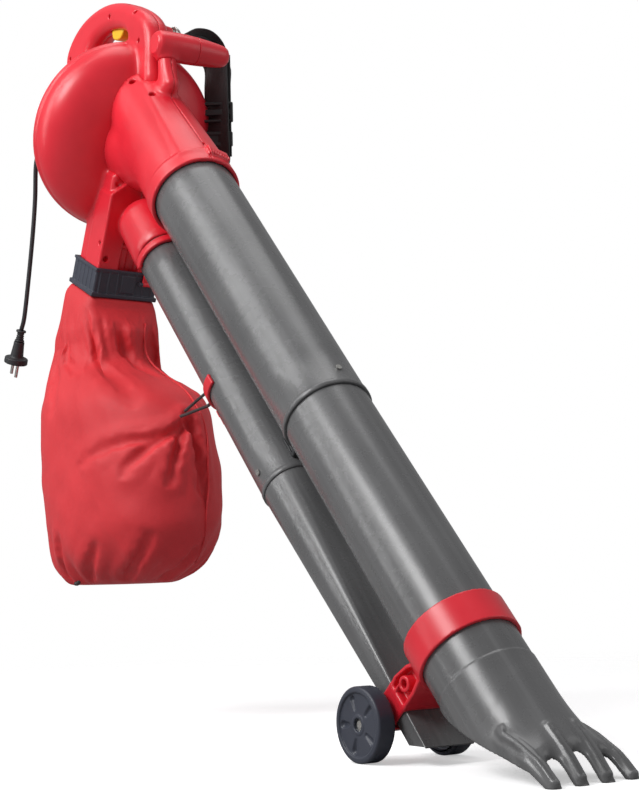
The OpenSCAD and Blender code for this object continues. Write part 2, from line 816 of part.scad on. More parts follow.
cord_r = 3.4;
cord_dir = [-0.19, -0.90, -0.39];
cord_exit = fan_c - 95 * fan_dir(1, 0) + bay_r * cord_dir;
cord_path = [cord_exit + 24 * cord_dir, cord_exit + [-16, -27, -20], cord_exit + [-28, -28, -38],
  [-779, -76, 760], [-790, -75, 710], [-806, -75, 645], [-822, -75, 590], [-834, -75, 571]];
plug_end = [-857, -75, 523];

module cord_guard() {
  color(black) difference() {
    bar(cord_exit - 3.5 * cord_dir, cord_exit + 22 * cord_dir, 6, 5, 32);
    bar(cord_exit - 8 * cord_dir, cord_exit + 24 * cord_dir, cord_r + gap, cord_r + gap, 32);
  }
}

module power_cord() {
  color(black) {
    bar(cord_exit - 3 * cord_dir, cord_path[0], cord_r, cord_r);
    for (i = [0 : len(cord_path) - 2]) {
      bar(cord_path[i], cord_path[i + 1], cord_r, cord_r);
      translate(cord_path[i]) sphere(r = cord_r + 0.2, $fn = 24);
    }
  }
}

plug_dir = (plug_end - cord_path[7]) / norm(plug_end - cord_path[7]);

module plug_body() {
  color(black) {
    bar(cord_path[7] + 1.2 * plug_dir, cord_path[7] + 4 * plug_dir, 7.5, 7.5, 32);
    bar(cord_path[7] + 3 * plug_dir, cord_path[7] + 46 * plug_dir, 5.5, 10, 32);
    bar(cord_path[7] + 44 * plug_dir, cord_path[7] + 53 * plug_dir, 17.5, 17.5, 48);
  }
}

pin_gap = 19;
pin_side = [plug_dir[2], 0, -plug_dir[0]];

module plug_pins() {
  color(steel) for (s = [-1, 1]) {
    base = cord_path[7] + 53.05 * plug_dir + s * pin_gap / 2 * pin_side;
    bar(base, base + 19 * plug_dir, 2.4, 2.4, 32);
  }
}

// ---- shoulder strap ----

strap_eye = [-545, handle_w / 2 + 10, 958];

module strap_hook() {
  color(steel) translate([strap_eye[0], handle_w / 2 + 5, strap_eye[2]]) {
    translate([0, -2, 0]) rotate([-90, 0, 0]) cylinder(h = 14, r = 3.9);
    translate([0, 12, 0]) rotate([90, 0, 0]) translate([0, 0, -3]) cylinder(h = 3, r = 9);
    translate([0, 15, 0]) rotate([90, 0, 90]) translate([0, 0, -1.5]) rotate_extrude($fn = 48)
      translate([9, 0]) circle(r = 1.5, $fn = 24);
  }
}

strap_w = 40;

strap_turn = -34;
strap_foot = [-568, 131, 785];

module hanging(x, h, w, t) {
  translate(strap_foot) rotate([0, 0, strap_turn]) translate([x, -w / 2, h[0]]) cube([t, w, h[1]]);
}

module shoulder_strap() {
  along = (strap_w / 2) * [-sin(strap_turn), cos(strap_turn)];
  foot = [strap_foot[0], strap_foot[1]];
  color(black) {
    translate([0, 0, strap_foot[2] + 182]) linear_extrude(3) polygon([
      [strap_eye[0] - strap_w / 2, strap_eye[1] + 22], [strap_eye[0] + strap_w / 2, strap_eye[1] + 22],
      foot + along + [5, 0], foot - along - [5, 0]]);
    hanging(-6, [0, 183], strap_w, 3);
    hanging(2, [0, 183], strap_w, 3);
  }
}

module strap_adjuster() {
  color(black) hanging(5.2, [62, 30], strap_w + 6, 4);
}

housing_right();
housing_left();
neck_right();
neck_left();
rear_vent_cover();
housing_screws();
neck_screws();
motor_stator();
rotor_core();
motor_shaft();
commutator();
carbon_brushes();
brush_holders();
front_bearing();
rear_bearing();
bearing_carrier();
rear_bracket();
cooling_fan();
impeller();
shredder_blade();
impeller_nut();
trigger();
trigger_pin();
trigger_spring();
power_switch();
changeover_flap();
flap_shaft();
changeover_lever();
front_grip();
front_grip_cap();
grip_bolt();
suction_tube();
suction_nozzle();
blow_tube();
blow_nozzle();
tube_clip();
tube_screws();
wheel_bracket();
axle();
wheel_right();
wheel_left();
wheel_clips();
bag_collar();
collar_seal();
bag_latch();
latch_pin();
collection_bag();
bag_hook();
power_cord();
cord_guard();
plug_body();
plug_pins();
strap_hook();
shoulder_strap();
strap_adjuster();
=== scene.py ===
import json
import math
import bmesh
import bpy
import numpy as np
from mathutils import Matrix, Vector


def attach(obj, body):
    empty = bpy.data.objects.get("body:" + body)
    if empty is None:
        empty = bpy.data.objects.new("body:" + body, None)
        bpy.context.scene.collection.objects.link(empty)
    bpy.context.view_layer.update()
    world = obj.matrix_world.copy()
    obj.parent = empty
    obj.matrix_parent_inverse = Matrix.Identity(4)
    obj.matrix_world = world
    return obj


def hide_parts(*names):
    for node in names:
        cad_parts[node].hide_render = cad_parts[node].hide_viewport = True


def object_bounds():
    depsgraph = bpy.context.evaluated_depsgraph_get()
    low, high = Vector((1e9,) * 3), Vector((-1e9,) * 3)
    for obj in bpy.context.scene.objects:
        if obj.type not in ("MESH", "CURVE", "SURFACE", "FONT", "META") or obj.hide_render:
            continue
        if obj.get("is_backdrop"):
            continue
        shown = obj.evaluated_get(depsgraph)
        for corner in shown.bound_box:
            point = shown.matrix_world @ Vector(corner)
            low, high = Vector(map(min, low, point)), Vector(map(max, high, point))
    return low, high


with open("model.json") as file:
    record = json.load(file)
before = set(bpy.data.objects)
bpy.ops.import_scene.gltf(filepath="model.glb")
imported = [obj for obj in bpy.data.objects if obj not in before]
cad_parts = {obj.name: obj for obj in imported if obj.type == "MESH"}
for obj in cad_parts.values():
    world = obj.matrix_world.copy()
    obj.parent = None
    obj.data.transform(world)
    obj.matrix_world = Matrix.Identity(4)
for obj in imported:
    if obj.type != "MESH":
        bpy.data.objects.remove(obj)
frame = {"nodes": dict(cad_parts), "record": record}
cad_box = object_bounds()

MM = 0.001
TT, FT = math.radians(47.5), math.radians(26.0)
AXLE_H, SUCTION_Q, BLOW_Q = 38.0, 125.0, 18.0
SEAM_S, COLLAR_S = 325.0, 763.0


def tube_pt(q, s, y=0.0):
    return np.array([q * math.sin(TT) - s * math.cos(TT), y, AXLE_H + q * math.cos(TT) + s * math.sin(TT)])


def fan_dir(a, b):
    return np.array([a * math.cos(FT) - b * math.sin(FT), 0.0, -a * math.sin(FT) - b * math.cos(FT)])


BEND = tube_pt(SUCTION_Q, COLLAR_S + 90)
FAN_C = BEND - 169.5 * fan_dir(1, 0)


def fan_pt(a, y, c):
    return FAN_C + fan_dir(c, a) + np.array([0.0, y, 0.0])


def in_tube(x, y, z):
    """Across the tubes above the axle, sideways, up the tubes."""
    h = z - AXLE_H
    return x * math.sin(TT) + h * math.cos(TT), y, -x * math.cos(TT) + h * math.sin(TT)


def in_fan(x, y, z):
    """Away from the fan's axis downward, sideways, forward along the axis."""
    u, w = x - FAN_C[0], z - FAN_C[2]
    return -u * math.sin(FT) - w * math.cos(FT), y, u * math.cos(FT) - w * math.sin(FT)


# ---- distance fields, in millimetres ----

def smin(a, b, k):
    h = np.clip(0.5 + 0.5 * (b - a) / k, 0, 1)
    return b + (a - b) * h - k * h * (1 - h)


def smax(a, b, k):
    return -smin(-a, -b, k)


def both(a, b, r=0.0):
    """Rounded join of two slabs: inside both."""
    a, b = a + r, b + r
    return np.minimum(np.maximum(a, b), 0) + np.hypot(np.maximum(a, 0), np.maximum(b, 0)) - r


def rod(rad, z, z0, z1, r0, r1, rnd=0.0):
    """Cone or cylinder of radius r0 at z0 and r1 at z1, from its radial distance."""
    t = np.clip((z - z0) / (z1 - z0), 0, 1)
    return both(rad - (r0 + (r1 - r0) * t), np.abs(z - (z0 + z1) / 2) - abs(z1 - z0) / 2, rnd)


def rbox(x, y, z, c, h, r):
    q = [np.abs(v - c[i]) - (h[i] - r) for i, v in enumerate((x, y, z))]
    out = np.sqrt(sum(np.maximum(v, 0) ** 2 for v in q))
    return out + np.minimum(np.maximum(np.maximum(q[0], q[1]), q[2]), 0) - r


def seg(x, y, z, a, b, ra, rb):
    ab = np.array(b, float) - np.array(a, float)
    t = np.clip(((x - a[0]) * ab[0] + (y - a[1]) * ab[1] + (z - a[2]) * ab[2]) / (ab @ ab), 0, 1)
    d = np.sqrt((x - a[0] - t * ab[0]) ** 2 + (y - a[1] - t * ab[1]) ** 2 + (z - a[2] - t * ab[2]) ** 2)
    return d - (ra + (rb - ra) * t)


def poly2(u, v, pts):
    """Signed distance to a closed polygon."""
    d = np.full(u.shape, 1e9, u.dtype)
    inside = np.zeros(u.shape, bool)
    n = len(pts)
    for i in range(n):
        a, b = pts[i], pts[(i + 1) % n]
        ex, ey = b[0] - a[0], b[1] - a[1]
        if abs(ex) + abs(ey) < 1e-6:
            continue
        wx, wy = u - a[0], v - a[1]
        t = np.clip((wx * ex + wy * ey) / (ex * ex + ey * ey), 0, 1)
        d = np.minimum(d, (wx - t * ex) ** 2 + (wy - t * ey) ** 2)
        if a[1] != b[1]:
            cross = ((a[1] <= v) & (v < b[1])) | ((b[1] <= v) & (v < a[1]))
            inside ^= cross & (u < a[0] + ex * (v - a[1]) / ey)
    return np.where(inside, -1, 1) * np.sqrt(d)


def curve(pts, n=6):
    """Catmull-Rom points through pts."""
    p = [np.array(v, float) for v in pts]
    p = [2 * p[0] - p[1]] + p + [2 * p[-1] - p[-2]]
    out = []
    for i in range(1, len(p) - 2):
        for k in range(n):
            t = k / n
            out.append(0.5 * (2 * p[i] + (p[i + 1] - p[i - 1]) * t
                              + (2 * p[i - 1] - 5 * p[i] + 4 * p[i + 1] - p[i + 2]) * t * t
                              + (3 * p[i] - p[i - 1] - 3 * p[i + 1] + p[i + 2]) * t ** 3))
    return out + [p[-2]]


def surface(name, f, lo, hi, step):
    """Mesh of where f is zero, by surface nets, then drawn onto the exact surface."""
    lo = np.array(lo, float)
    n = np.ceil((np.array(hi, float) - lo) / step).astype(int) + 1
    ax = [(lo[i] + step * np.arange(n[i])).astype(np.float32) for i in range(3)]
    v = np.empty(tuple(n), np.float32)
    for k in range(0, n[0], 24):
        g = np.meshgrid(ax[0][k:k + 24], ax[1], ax[2], indexing="ij")
        v[k:k + 24] = f(*g)
    s = v < 0
    total = np.zeros(tuple(n - 1), np.int8)
    corners = [(i, j, k) for i in (0, 1) for j in (0, 1) for k in (0, 1)]
    for i, j, k in corners:
        total += s[i:n[0] - 1 + i, j:n[1] - 1 + j, k:n[2] - 1 + k]
    mask = (total > 0) & (total < 8)
    cells = np.argwhere(mask)
    index = np.full(mask.shape, -1, np.int64)
    index[mask] = np.arange(len(cells))
    acc, cnt = np.zeros((len(cells), 3)), np.zeros((len(cells), 1))
    for i, a in enumerate(corners):
        for b in corners[i + 1:]:
            if sum(abs(p - q) for p, q in zip(a, b)) != 1:
                continue
            va = v[cells[:, 0] + a[0], cells[:, 1] + a[1], cells[:, 2] + a[2]].astype(float)
            vb = v[cells[:, 0] + b[0], cells[:, 1] + b[1], cells[:, 2] + b[2]].astype(float)
            hit = (va < 0) != (vb < 0)
            t = np.where(hit, va / np.where(hit, va - vb, 1), 0)
            acc += np.where(hit[:, None], np.array(a) + t[:, None] * (np.array(b) - np.array(a)), 0)
            cnt += hit[:, None]
    p = lo + step * (cells + acc / cnt)
    faces = []
    for axis in range(3):
        u, w = [q for q in range(3) if q != axis]
        first = [slice(None)] * 3
        second = [slice(None)] * 3
        first[axis], second[axis] = slice(0, -1), slice(1, None)
        change = s[tuple(first)] != s[tuple(second)]
        at = np.argwhere(change)
        at = at[(at[:, u] > 0) & (at[:, w] > 0) & (at[:, u] < n[u] - 1) & (at[:, w] < n[w] - 1)]
        inside = s[at[:, 0], at[:, 1], at[:, 2]]
        quad = []
        for du, dw in ((0, 0), (1, 0), (1, 1), (0, 1)):
            c = at.copy()
            c[:, u] -= du
            c[:, w] -= dw
            quad.append(index[c[:, 0], c[:, 1], c[:, 2]])
        quad = np.stack(quad, 1)
        turn = inside if axis != 1 else ~inside
        quad[~turn] = quad[~turn][:, ::-1]
        faces.append(quad)
    faces = np.concatenate(faces)
    e = 0.15 * step
    for _ in range(3):
        d = f(p[:, 0], p[:, 1], p[:, 2])
        g = np.stack([f(*(p + e * o).T) - f(*(p - e * o).T) for o in np.eye(3)], 1) / (2 * e)
        move = -(d / np.maximum((g ** 2).sum(1), 0.25))[:, None] * g
        size = np.linalg.norm(move, axis=1, keepdims=True)
        p += 0.9 * move * np.minimum(1, 0.45 * step / np.maximum(size, 1e-9))
    return build(name, p * MM, faces)


def build(name, verts, faces, smooth=True):
    mesh = bpy.data.meshes.new(name)
    verts = np.asarray(verts, np.float32)
    if isinstance(faces, np.ndarray):
        k = faces.shape[1]
        mesh.vertices.add(len(verts))
        mesh.vertices.foreach_set("co", verts.ravel())
        mesh.loops.add(faces.size)
        mesh.loops.foreach_set("vertex_index", faces.astype(np.int32).ravel())
        mesh.polygons.add(len(faces))
        mesh.polygons.foreach_set("loop_start", np.arange(0, faces.size, k, dtype=np.int32))
        mesh.update(calc_edges=True)
        mesh.validate()
    else:
        mesh.from_pydata(verts.tolist(), [], [list(map(int, q)) for q in faces])
    if smooth:
        mesh.polygons.foreach_set("use_smooth", np.ones(len(mesh.polygons), bool))
    o = bpy.data.objects.new(name, mesh)
    bpy.context.scene.collection.objects.link(o)
    return o


def ring_faces(rows, n, closed=False):
    """Quads between rings of n points; closed joins the last ring to the first."""
    return [(i * n + k, i * n + (k + 1) % n, (i + 1) % rows * n + (k + 1) % n, (i + 1) % rows * n + k)
            for i in range(rows if closed else rows - 1) for k in range(n)]


def rework(o, work):
    """Lets work change the mesh of o, then turns its faces outward."""
    bm = bmesh.new()
    bm.from_mesh(o.data)
    work(bm)
    bmesh.ops.recalc_face_normals(bm, faces=bm.faces)
    bm.to_mesh(o.data)
    bm.free()


def lathe(name, profile, origin, axis, n=128):
    """Turns (distance along the axis, radius) points, in millimetres, about a line."""
    axis = np.array(axis, float) / np.linalg.norm(axis)
    side = np.cross(axis, [0, 1, 0] if abs(axis[1]) < 0.9 else [1, 0, 0])
    side /= np.linalg.norm(side)
    up = np.cross(axis, side)
    ang = np.linspace(0, 2 * math.pi, n, endpoint=False)
    verts = []
    for s, r in profile:
        for a in ang:
            verts.append(np.array(origin) + s * axis + max(r,
                                                           0.01) * (math.cos(a) * side + math.sin(a) * up))
    closed = profile[0] == profile[-1]
    rows = len(profile) - 1 if closed else len(profile)
    if closed:
        verts = verts[:-n]
    return build(name, np.array(verts) * MM, np.array(ring_faces(rows, n, closed)))


def shell_of(f, wall):
    return np.maximum(f, -(f + wall))


# ---- materials ----

def material(name, base, rough, build_nodes=None, metal=0.0, coat=0.0):
    m = bpy.data.materials.new(name)
    m.use_nodes = True
    nt = m.node_tree
    b = nt.nodes["Principled BSDF"]
    b.inputs["Base Color"].default_value = (*base, 1)
    b.inputs["Roughness"].default_value = rough
    b.inputs["Metallic"].default_value = metal
    b.inputs["Coat Weight"].default_value = coat
    if build_nodes:
        build_nodes(nt, b, base, rough)
    return m


def new(nt, kind, **inputs):
    n = nt.nodes.new(kind)
    for k, v in inputs.items():
        if k in n.inputs:
            n.inputs[k].default_value = v
        else:
            setattr(n, k, v)
    return n


def link(nt, a, b):
    nt.links.new(a, b)


def coords(nt, scale=(1, 1, 1)):
    tc = new(nt, "ShaderNodeTexCoord")
    mp = new(nt, "ShaderNodeMapping")
    mp.inputs["Scale"].default_value = scale
    link(nt, tc.outputs["Object"], mp.inputs["Vector"])
    return mp.outputs["Vector"]


def noise(nt, vec, scale, detail=4.0, rough=0.55):
    n = new(nt, "ShaderNodeTexNoise")
    n.inputs["Scale"].default_value = scale
    n.inputs["Detail"].default_value = detail
    n.inputs["Roughness"].default_value = rough
    link(nt, vec, n.inputs["Vector"])
    return n.outputs["Fac"]


def remap(nt, fac, a, b, c, d):
    n = new(nt, "ShaderNodeMapRange")
    for k, v in zip(("From Min", "From Max", "To Min", "To Max"), (a, b, c, d)):
        n.inputs[k].default_value = v
    link(nt, fac, n.inputs["Value"])
    return n.outputs["Result"]


def mix(nt, fac, a, b, blend="MIX"):
    n = new(nt, "ShaderNodeMix")
    n.data_type, n.blend_type = "RGBA", blend
    if isinstance(fac, (int, float)):
        n.inputs[0].default_value = fac
    else:
        link(nt, fac, n.inputs[0])
    for socket, v in ((n.inputs[6], a), (n.inputs[7], b)):
        if hasattr(v, "is_linked") or hasattr(v, "links"):
            link(nt, v, socket)
        else:
            socket.default_value = (*v, 1)
    return n.outputs[2]


def bump(nt, height, strength, distance, b, below=None):
    n = new(nt, "ShaderNodeBump")
    n.inputs["Strength"].default_value = strength
    n.inputs["Distance"].default_value = distance
    link(nt, height, n.inputs["Height"])
    if below is not None:
        link(nt, below, n.inputs["Normal"])
    link(nt, n.outputs["Normal"], b.inputs["Normal"])
    return n.outputs["Normal"]


def tone_of(base, gain, lift=0.0):
    return tuple(min(1, c * gain + lift) for c in base)


def moulded(grain=0.25, wear=0.0, grain_scale=1400, drag=0.0):
    """Injection-moulded plastic: spark-eroded grain, slow tone drift, edges rubbed paler."""
    def make(nt, b, base, rough):
        v = coords(nt)
        tone = noise(nt, v, 9, 3)
        colour = mix(nt, remap(nt, tone, 0.3, 0.7, 0, 1), tone_of(base, 0.88), tone_of(base, 1.08, 0.006))
        geo = new(nt, "ShaderNodeNewGeometry")
        edge = remap(nt, geo.outputs["Pointiness"], 0.53, 0.60, 0.0, wear)
        colour = mix(nt, edge, colour, tone_of(base, 1.25, 0.05))
        if drag:
            turned = new(nt, "ShaderNodeMapping")
            turned.inputs["Rotation"].default_value = (0, math.pi / 2 - TT, 0)
            link(nt, v, turned.inputs["Vector"])
            drawn = new(nt, "ShaderNodeMapping")
            drawn.inputs["Scale"].default_value = (95, 95, 1.2)
            link(nt, turned.outputs["Vector"], drawn.inputs["Vector"])
            lines = noise(nt, drawn.outputs["Vector"], 1, 2, 0.5)
            colour = mix(nt, remap(nt, lines, 0.48, 0.62, 0, drag), colour, tone_of(base, 1.9, 0.02))
            colour = mix(nt, remap(nt, lines, 0.46, 0.36, 0, drag), colour, tone_of(base, 0.6))
        link(nt, colour, b.inputs["Base Color"])
        smudge = noise(nt, v, 38, 5, 0.65)
        link(nt, remap(nt, smudge, 0.3, 0.75, rough - 0.02, rough + 0.03), b.inputs["Roughness"])
        fine = noise(nt, v, grain_scale, 2, 0.6)
        swell = noise(nt, v, 26, 2)
        low = bump(nt, swell, 0.05, 0.0015, b)
        bump(nt, fine, grain, 0.0002, b, low)
    return make


def brushed(nt, b, base, rough):
    v = coords(nt, (40, 40, 900))
    streak = noise(nt, v, 3, 3)
    link(nt, remap(nt, streak, 0.2, 0.8, rough - 0.08, rough + 0.14), b.inputs["Roughness"])
    link(nt, mix(nt, streak, tone_of(base, 0.8), base), b.inputs["Base Color"])
    bump(nt, streak, 0.15, 0.0002, b)


def woven(pitch, strength, fuzz=0.35):
    """Plain weave from two crossed wave sets, with slubs, sheen and slow fading."""
    def make(nt, b, base, rough):
        v = coords(nt)
        sep = new(nt, "ShaderNodeSeparateXYZ")
        link(nt, v, sep.inputs[0])
        ang = new(nt, "ShaderNodeMath", operation="ADD")
        link(nt, sep.outputs["X"], ang.inputs[0])
        link(nt, sep.outputs["Y"], ang.inputs[1])
        waves = []
        for src in (ang.outputs[0], sep.outputs["Z"]):
            m = new(nt, "ShaderNodeMath", operation="MULTIPLY")
            link(nt, src, m.inputs[0])
            m.inputs[1].default_value = 2 * math.pi / pitch
            s = new(nt, "ShaderNodeMath", operation="SINE")
            link(nt, m.outputs[0], s.inputs[0])
            waves.append(s.outputs[0])
        w = new(nt, "ShaderNodeMath", operation="MULTIPLY")
        link(nt, waves[0], w.inputs[0])
        link(nt, waves[1], w.inputs[1])
        thread = remap(nt, w.outputs[0], -1, 1, 0, 1)
        fade = noise(nt, v, 7, 4)
        slub = noise(nt, v, 420, 3)
        colour = mix(nt, remap(nt, fade, 0.3, 0.72, 0, 1), tone_of(base, 0.86), tone_of(base, 1.1, 0.01))
        colour = mix(nt, remap(nt, thread, 0, 1, 0.16, 0), colour, tone_of(base, 0.55))
        colour = mix(nt, remap(nt, slub, 0.35, 0.7, 0, 0.14), colour, tone_of(base, 1.3, 0.03))
        link(nt, colour, b.inputs["Base Color"])
        link(nt, remap(nt, slub, 0.3, 0.7, rough - 0.06, rough + 0.08), b.inputs["Roughness"])
        b.inputs["Sheen Weight"].default_value = fuzz
        b.inputs["Sheen Roughness"].default_value = 0.5
        b.inputs["Sheen Tint"].default_value = (*tone_of(base, 1, 0.35), 1)
        crumple = noise(nt, v, 34, 5, 0.6)
        low = bump(nt, crumple, 0.35, 0.003, b)
        bump(nt, thread, strength, 0.0003, b, low)
    return make


FINISHES = {
    "red_plastic": ((0.74, 0.017, 0.034), 0.31, moulded(0.16, 0.30)),
    "grey_plastic": ((0.112, 0.112, 0.114), 0.27, moulded(0.10, 0.12, 1400, 0.16)),
    "blue_plastic": ((0.036, 0.041, 0.060), 0.42, moulded(0.30, 0.25)),
    "black_plastic": ((0.018, 0.018, 0.02), 0.5, moulded(0.3, 0.3)),
    "yellow_plastic": ((0.93, 0.56, 0.02), 0.38, moulded(0.16, 0.3)),
    "black_rubber": ((0.02, 0.021, 0.024), 0.55, moulded(0.5, 0.1, 900)),
    "carbon": ((0.03, 0.03, 0.03), 0.6, moulded(0.5, 0.1)),
    "steel": ((0.62, 0.61, 0.58), 0.26, brushed, 1.0),
    "cast_alloy": ((0.66, 0.66, 0.67), 0.42, moulded(0.6, 0.2, 700), 1.0),
    "copper": ((0.72, 0.36, 0.20), 0.34, brushed, 1.0),
    "bag_fabric": ((0.67, 0.019, 0.028), 0.6, woven(0.0011, 0.35, 0.05)),
    "webbing": ((0.016, 0.016, 0.018), 0.6, woven(0.0022, 0.9, 0.25)),
}
M = {name: material(name + "_m", *finish) for name, finish in FINISHES.items()}


def dress(o, slot_name, body, *nodes):
    o.data.materials.clear()
    o.data.materials.append(M[slot_name])
    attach(o, body)
    if nodes:
        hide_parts(*nodes)
    return o


def show(name, f, lo, hi, step, slot_name, body, *nodes):
    """A piece from a distance field, with its finish, its body and the CAD pieces it stands for."""
    return dress(surface(name, f, lo, hi, step), slot_name, body, *nodes)


# ---- fan case, handle, chute and elbow ----

def dome(r, c, big, front, back, p=2.6):
    h = np.where(c > 0, front, back)
    r = np.maximum(r, 1e-3)
    c = np.abs(c) + 1e-3
    k = ((r / big) ** p + (c / h) ** p) ** (1 / p)
    grad = k ** (1 - p) * np.sqrt((r ** (p - 1) / big ** p) ** 2 + (c ** (p - 1) / h ** p) ** 2)
    return (k - 1) / np.maximum(grad, 1e-6)


HANDLE_OUT = curve([(-600, 868), (-528, 866), (-519, 900), (-519, 938), (-530, 966), (-560, 991),
                    (-612, 1018), (-668, 1034), (-726, 1035), (-770, 1022), (-797, 999), (-800, 972),
                    (-784, 938), (-735, 880)], 4)
HANDLE_IN = curve([(-590, 930), (-588, 948), (-594, 964), (-612, 976), (-640, 986), (-674, 991), (-700, 988),
                   (-717, 976), (-718, 958), (-700, 942), (-660, 926), (-620, 917), (-597, 919),
                   (-590, 930)], 4)


def handle(x, y, z):
    q = np.maximum(poly2(x, z, HANDLE_OUT), -poly2(x, z, HANDLE_IN))
    return both(q, np.abs(y) - 19.5, 15)


CHUTE_SCREWS = ((54.5, -36, 98), (160, -37, 98))


def housing(x, y, z):
    a, b, c = in_fan(x, y, z)
    r = np.hypot(a, b)
    f = dome(r, c, 133, 64, 13)
    lip = rod(r, c, -7, 2, 134.2, 134.2, 2.5)
    f = smin(f, lip, 5)
    bay = rod(r, c, -117.5, 0, 58.5, 62, 9)
    f = smin(f, bay, 14)
    f = smin(f, handle(x, y, z), 9)
    block = rbox(a, b, c, (120, 0, 55), (80, 44.3, 33.5), 7)
    f = smin(f, block, 6)
    cheek = rbox(a, b, c, (103, 0, 72), (79, 46.5, 24), 2.6)
    lean = np.abs(b) * 0.9 + 27
    arch = smax(cheek,
                -both(np.abs(b) - (12.5 + 0.03 * (a - 70)), -(a - 74) * 0.97 + (np.abs(b)) * 0.2, 1.0), 1.6)
    arch = smax(arch, lean - a, 2)
    f = smin(f, arch, 1.6)
    f = smax(f, -rbox(a, b, c, (140, 0, 96), (62, 11.5, 12), 4), 2.5)
    d, e, s = in_tube(x, y, z)
    rad = np.hypot(d - BLOW_Q, e)
    elbow = rod(rad, s, COLLAR_S, 887, 41.0, 38.0, 33)
    band = rod(rad, s, COLLAR_S, 775, 41.9, 41.7, 1.6)
    elbow = smin(elbow, band, 3)
    link_duct = seg(a, b, c, (104, 0, 70), (104, 0, 118), 27, 27)
    f = smin(f, link_duct, 3)
    f = smin(f, elbow, 3)
    eye = seg(x, y, z, (-545, 12, 958), (-545, 26, 958), 8.5, 7.5)
    f = smin(f, eye, 4)
    f = np.maximum(f, a - 200)
    for u, v, w in CHUTE_SCREWS:
        f = smax(f, -seg(a, b, c, (u, v, w + 20), (u, v, w - 8), 4.2, 4.0), 0.9)
    for px, pz in ((-563, 985), (-548, 938), (-640, 1005), (-778, 985)):
        f = smax(f, -seg(x, y, z, (px, -40, pz), (px, -13, pz), 3.6, 3.4), 0.9)
    f = shell_of(f, 4.2)
    f = np.maximum(f, a - 198)
    f = smax(f, -rod(rad, s, COLLAR_S - 5, 782, 37.2, 37.2), 0.6)
    f = np.maximum(f, -rod(r, c, -131, -117.9, 59, 59))
    for k in range(12):
        t = math.radians(30 * k)
        across = (a * math.cos(t) + b * math.sin(t), -a * math.sin(t) + b * math.cos(t))
        f = np.maximum(f, -rbox(across[0], across[1], c, (36, 0, -117), (14, 2.5, 5), 2.2))
    mouth = rbox(x, y, z, (-626, 0, 984), (33, 9.2, 27), 2)
    f = smax(f, -mouth, 1)
    f = np.maximum(f, -seg(x, y, z, (-545, 4, 958), (-545, 50, 958), 4.05, 4.05))
    f = np.maximum(f, -rod(np.hypot(a - 140, c - 86), b, -50, 50, 3.1, 3.1))
    return f


CORD_DIR = np.array([-0.19, -0.90, -0.39])
CORD_EXIT = FAN_C - 95 * fan_dir(1, 0) + 60 * CORD_DIR


def housing_half(side):
    def f(x, y, z):
        h = housing(x, y, z)
        h = np.maximum(h, -seg(x, y, z, CORD_EXIT - 20 * CORD_DIR, CORD_EXIT + 12 * CORD_DIR, 6.15, 6.15))
        return smax(h, 0.12 - side * y, 0.5)
    return f


for side, nm in ((-1, "right"), (1, "left")):
    lo = (-815, -137 if side < 0 else -3, 605)
    hi = (-455, 3 if side < 0 else 137, 1040)
    show("housing_shell_" + nm, housing_half(side), lo, hi, 2.0, "red_plastic", "machine", "housing_" + nm)


# ---- intake neck ----

def on_neck(s, angle, radius=54.0):
    t = math.radians(angle)
    n = np.array([math.sin(TT) * math.cos(t), math.sin(t), math.cos(TT) * math.cos(t)])
    return tube_pt(SUCTION_Q, s) + radius * n, n


def neck_outer(x, y, z):
    d, e, s = in_tube(x, y, z)
    rad = np.hypot(d - SUCTION_Q, e)
    cone = rod(rad, s, COLLAR_S, 1020, 59.6, 51.5, 30)
    a, b, c = in_fan(x, y, z)
    eye = rod(np.hypot(a - 4, b), c, 30, 196, 56, 51, 34)
    f = smin(cone, eye, 5)
    raised = rod(rad, s, 770, 985, 61.6, 54.9, 22)
    raised = smax(raised, np.abs(e + 3) - 30 + 0.06 * (s - 880), 5)
    raised = smax(raised, 10 - (d - SUCTION_Q), 8)
    f = smin(f, raised, 4)
    band = rod(rad, s, COLLAR_S, 786, 61.2, 61.0, 1.4)
    f = smin(f, band, 5)
    for s0, ang in ((982, -38), (934, -24)):
        p, n = on_neck(s0, ang)
        way = n + 0.45 * np.array([0.7373, 0, 0.6756])
        f = smax(f, -seg(x, y, z, p - 8 * way, p + 30 * way, 4.8, 5.0), 0.9)
    p, n = on_neck(801, 2, 58)
    f = smax(f, -seg(x, y, z, p - 4 * n, p + 30 * n, 2.4, 2.4), 0.5)
    post = seg(x, y, z, (-500, 0, 862), (-500, 0, 897), 12.5, 11)
    f = smin(f, post, 16)
    web = seg(x, y, z, (-500, 0, 893), (-488, 0, 860), 7, 10)
    f = smin(f, web, 12)
    t = math.radians(14)
    dd, ee = d - SUCTION_Q, e
    u, w = dd * math.cos(t) + ee * math.sin(t), -dd * math.sin(t) + ee * math.cos(t)
    catch = rbox(u, w, s, (60.5, 0, 781), (4.5, 17, 8), 1.8)
    f = smin(f, catch, 3)
    for k in range(-3, 4):
        f = smax(f, -rbox(u, w, s, (65.4, k * 4.4, 773), (3, 0.9, 6), 0.5), 0.4)
    return f


def neck_half(side):
    def f(x, y, z):
        h = shell_of(neck_outer(x, y, z), 3.8)
        d, e, s = in_tube(x, y, z)
        rad = np.hypot(d - SUCTION_Q, e)
        h = np.maximum(h, COLLAR_S - s)
        h = smax(h, -rod(rad, s, COLLAR_S - 5, 792, 56.1, 56.1), 0.5)
        a, b, c = in_fan(x, y, z)
        h = np.maximum(h, -(dome(np.hypot(a, b), c, 133, 64, 13) - 0.4))
        h = np.maximum(h, -(handle(x, y, z) - 0.4))
        return smax(h, 0.12 - side * y, 0.4)
    return f


for side, nm in ((-1, "right"), (1, "left")):
    lo = (-600, -66 if side < 0 else -3, 640)
    hi = (-370, 3 if side < 0 else 66, 925)
    show("neck_shell_" + nm, neck_half(side), lo, hi, 1.8, "red_plastic", "machine", "neck_" + nm)


# ---- front grip ----

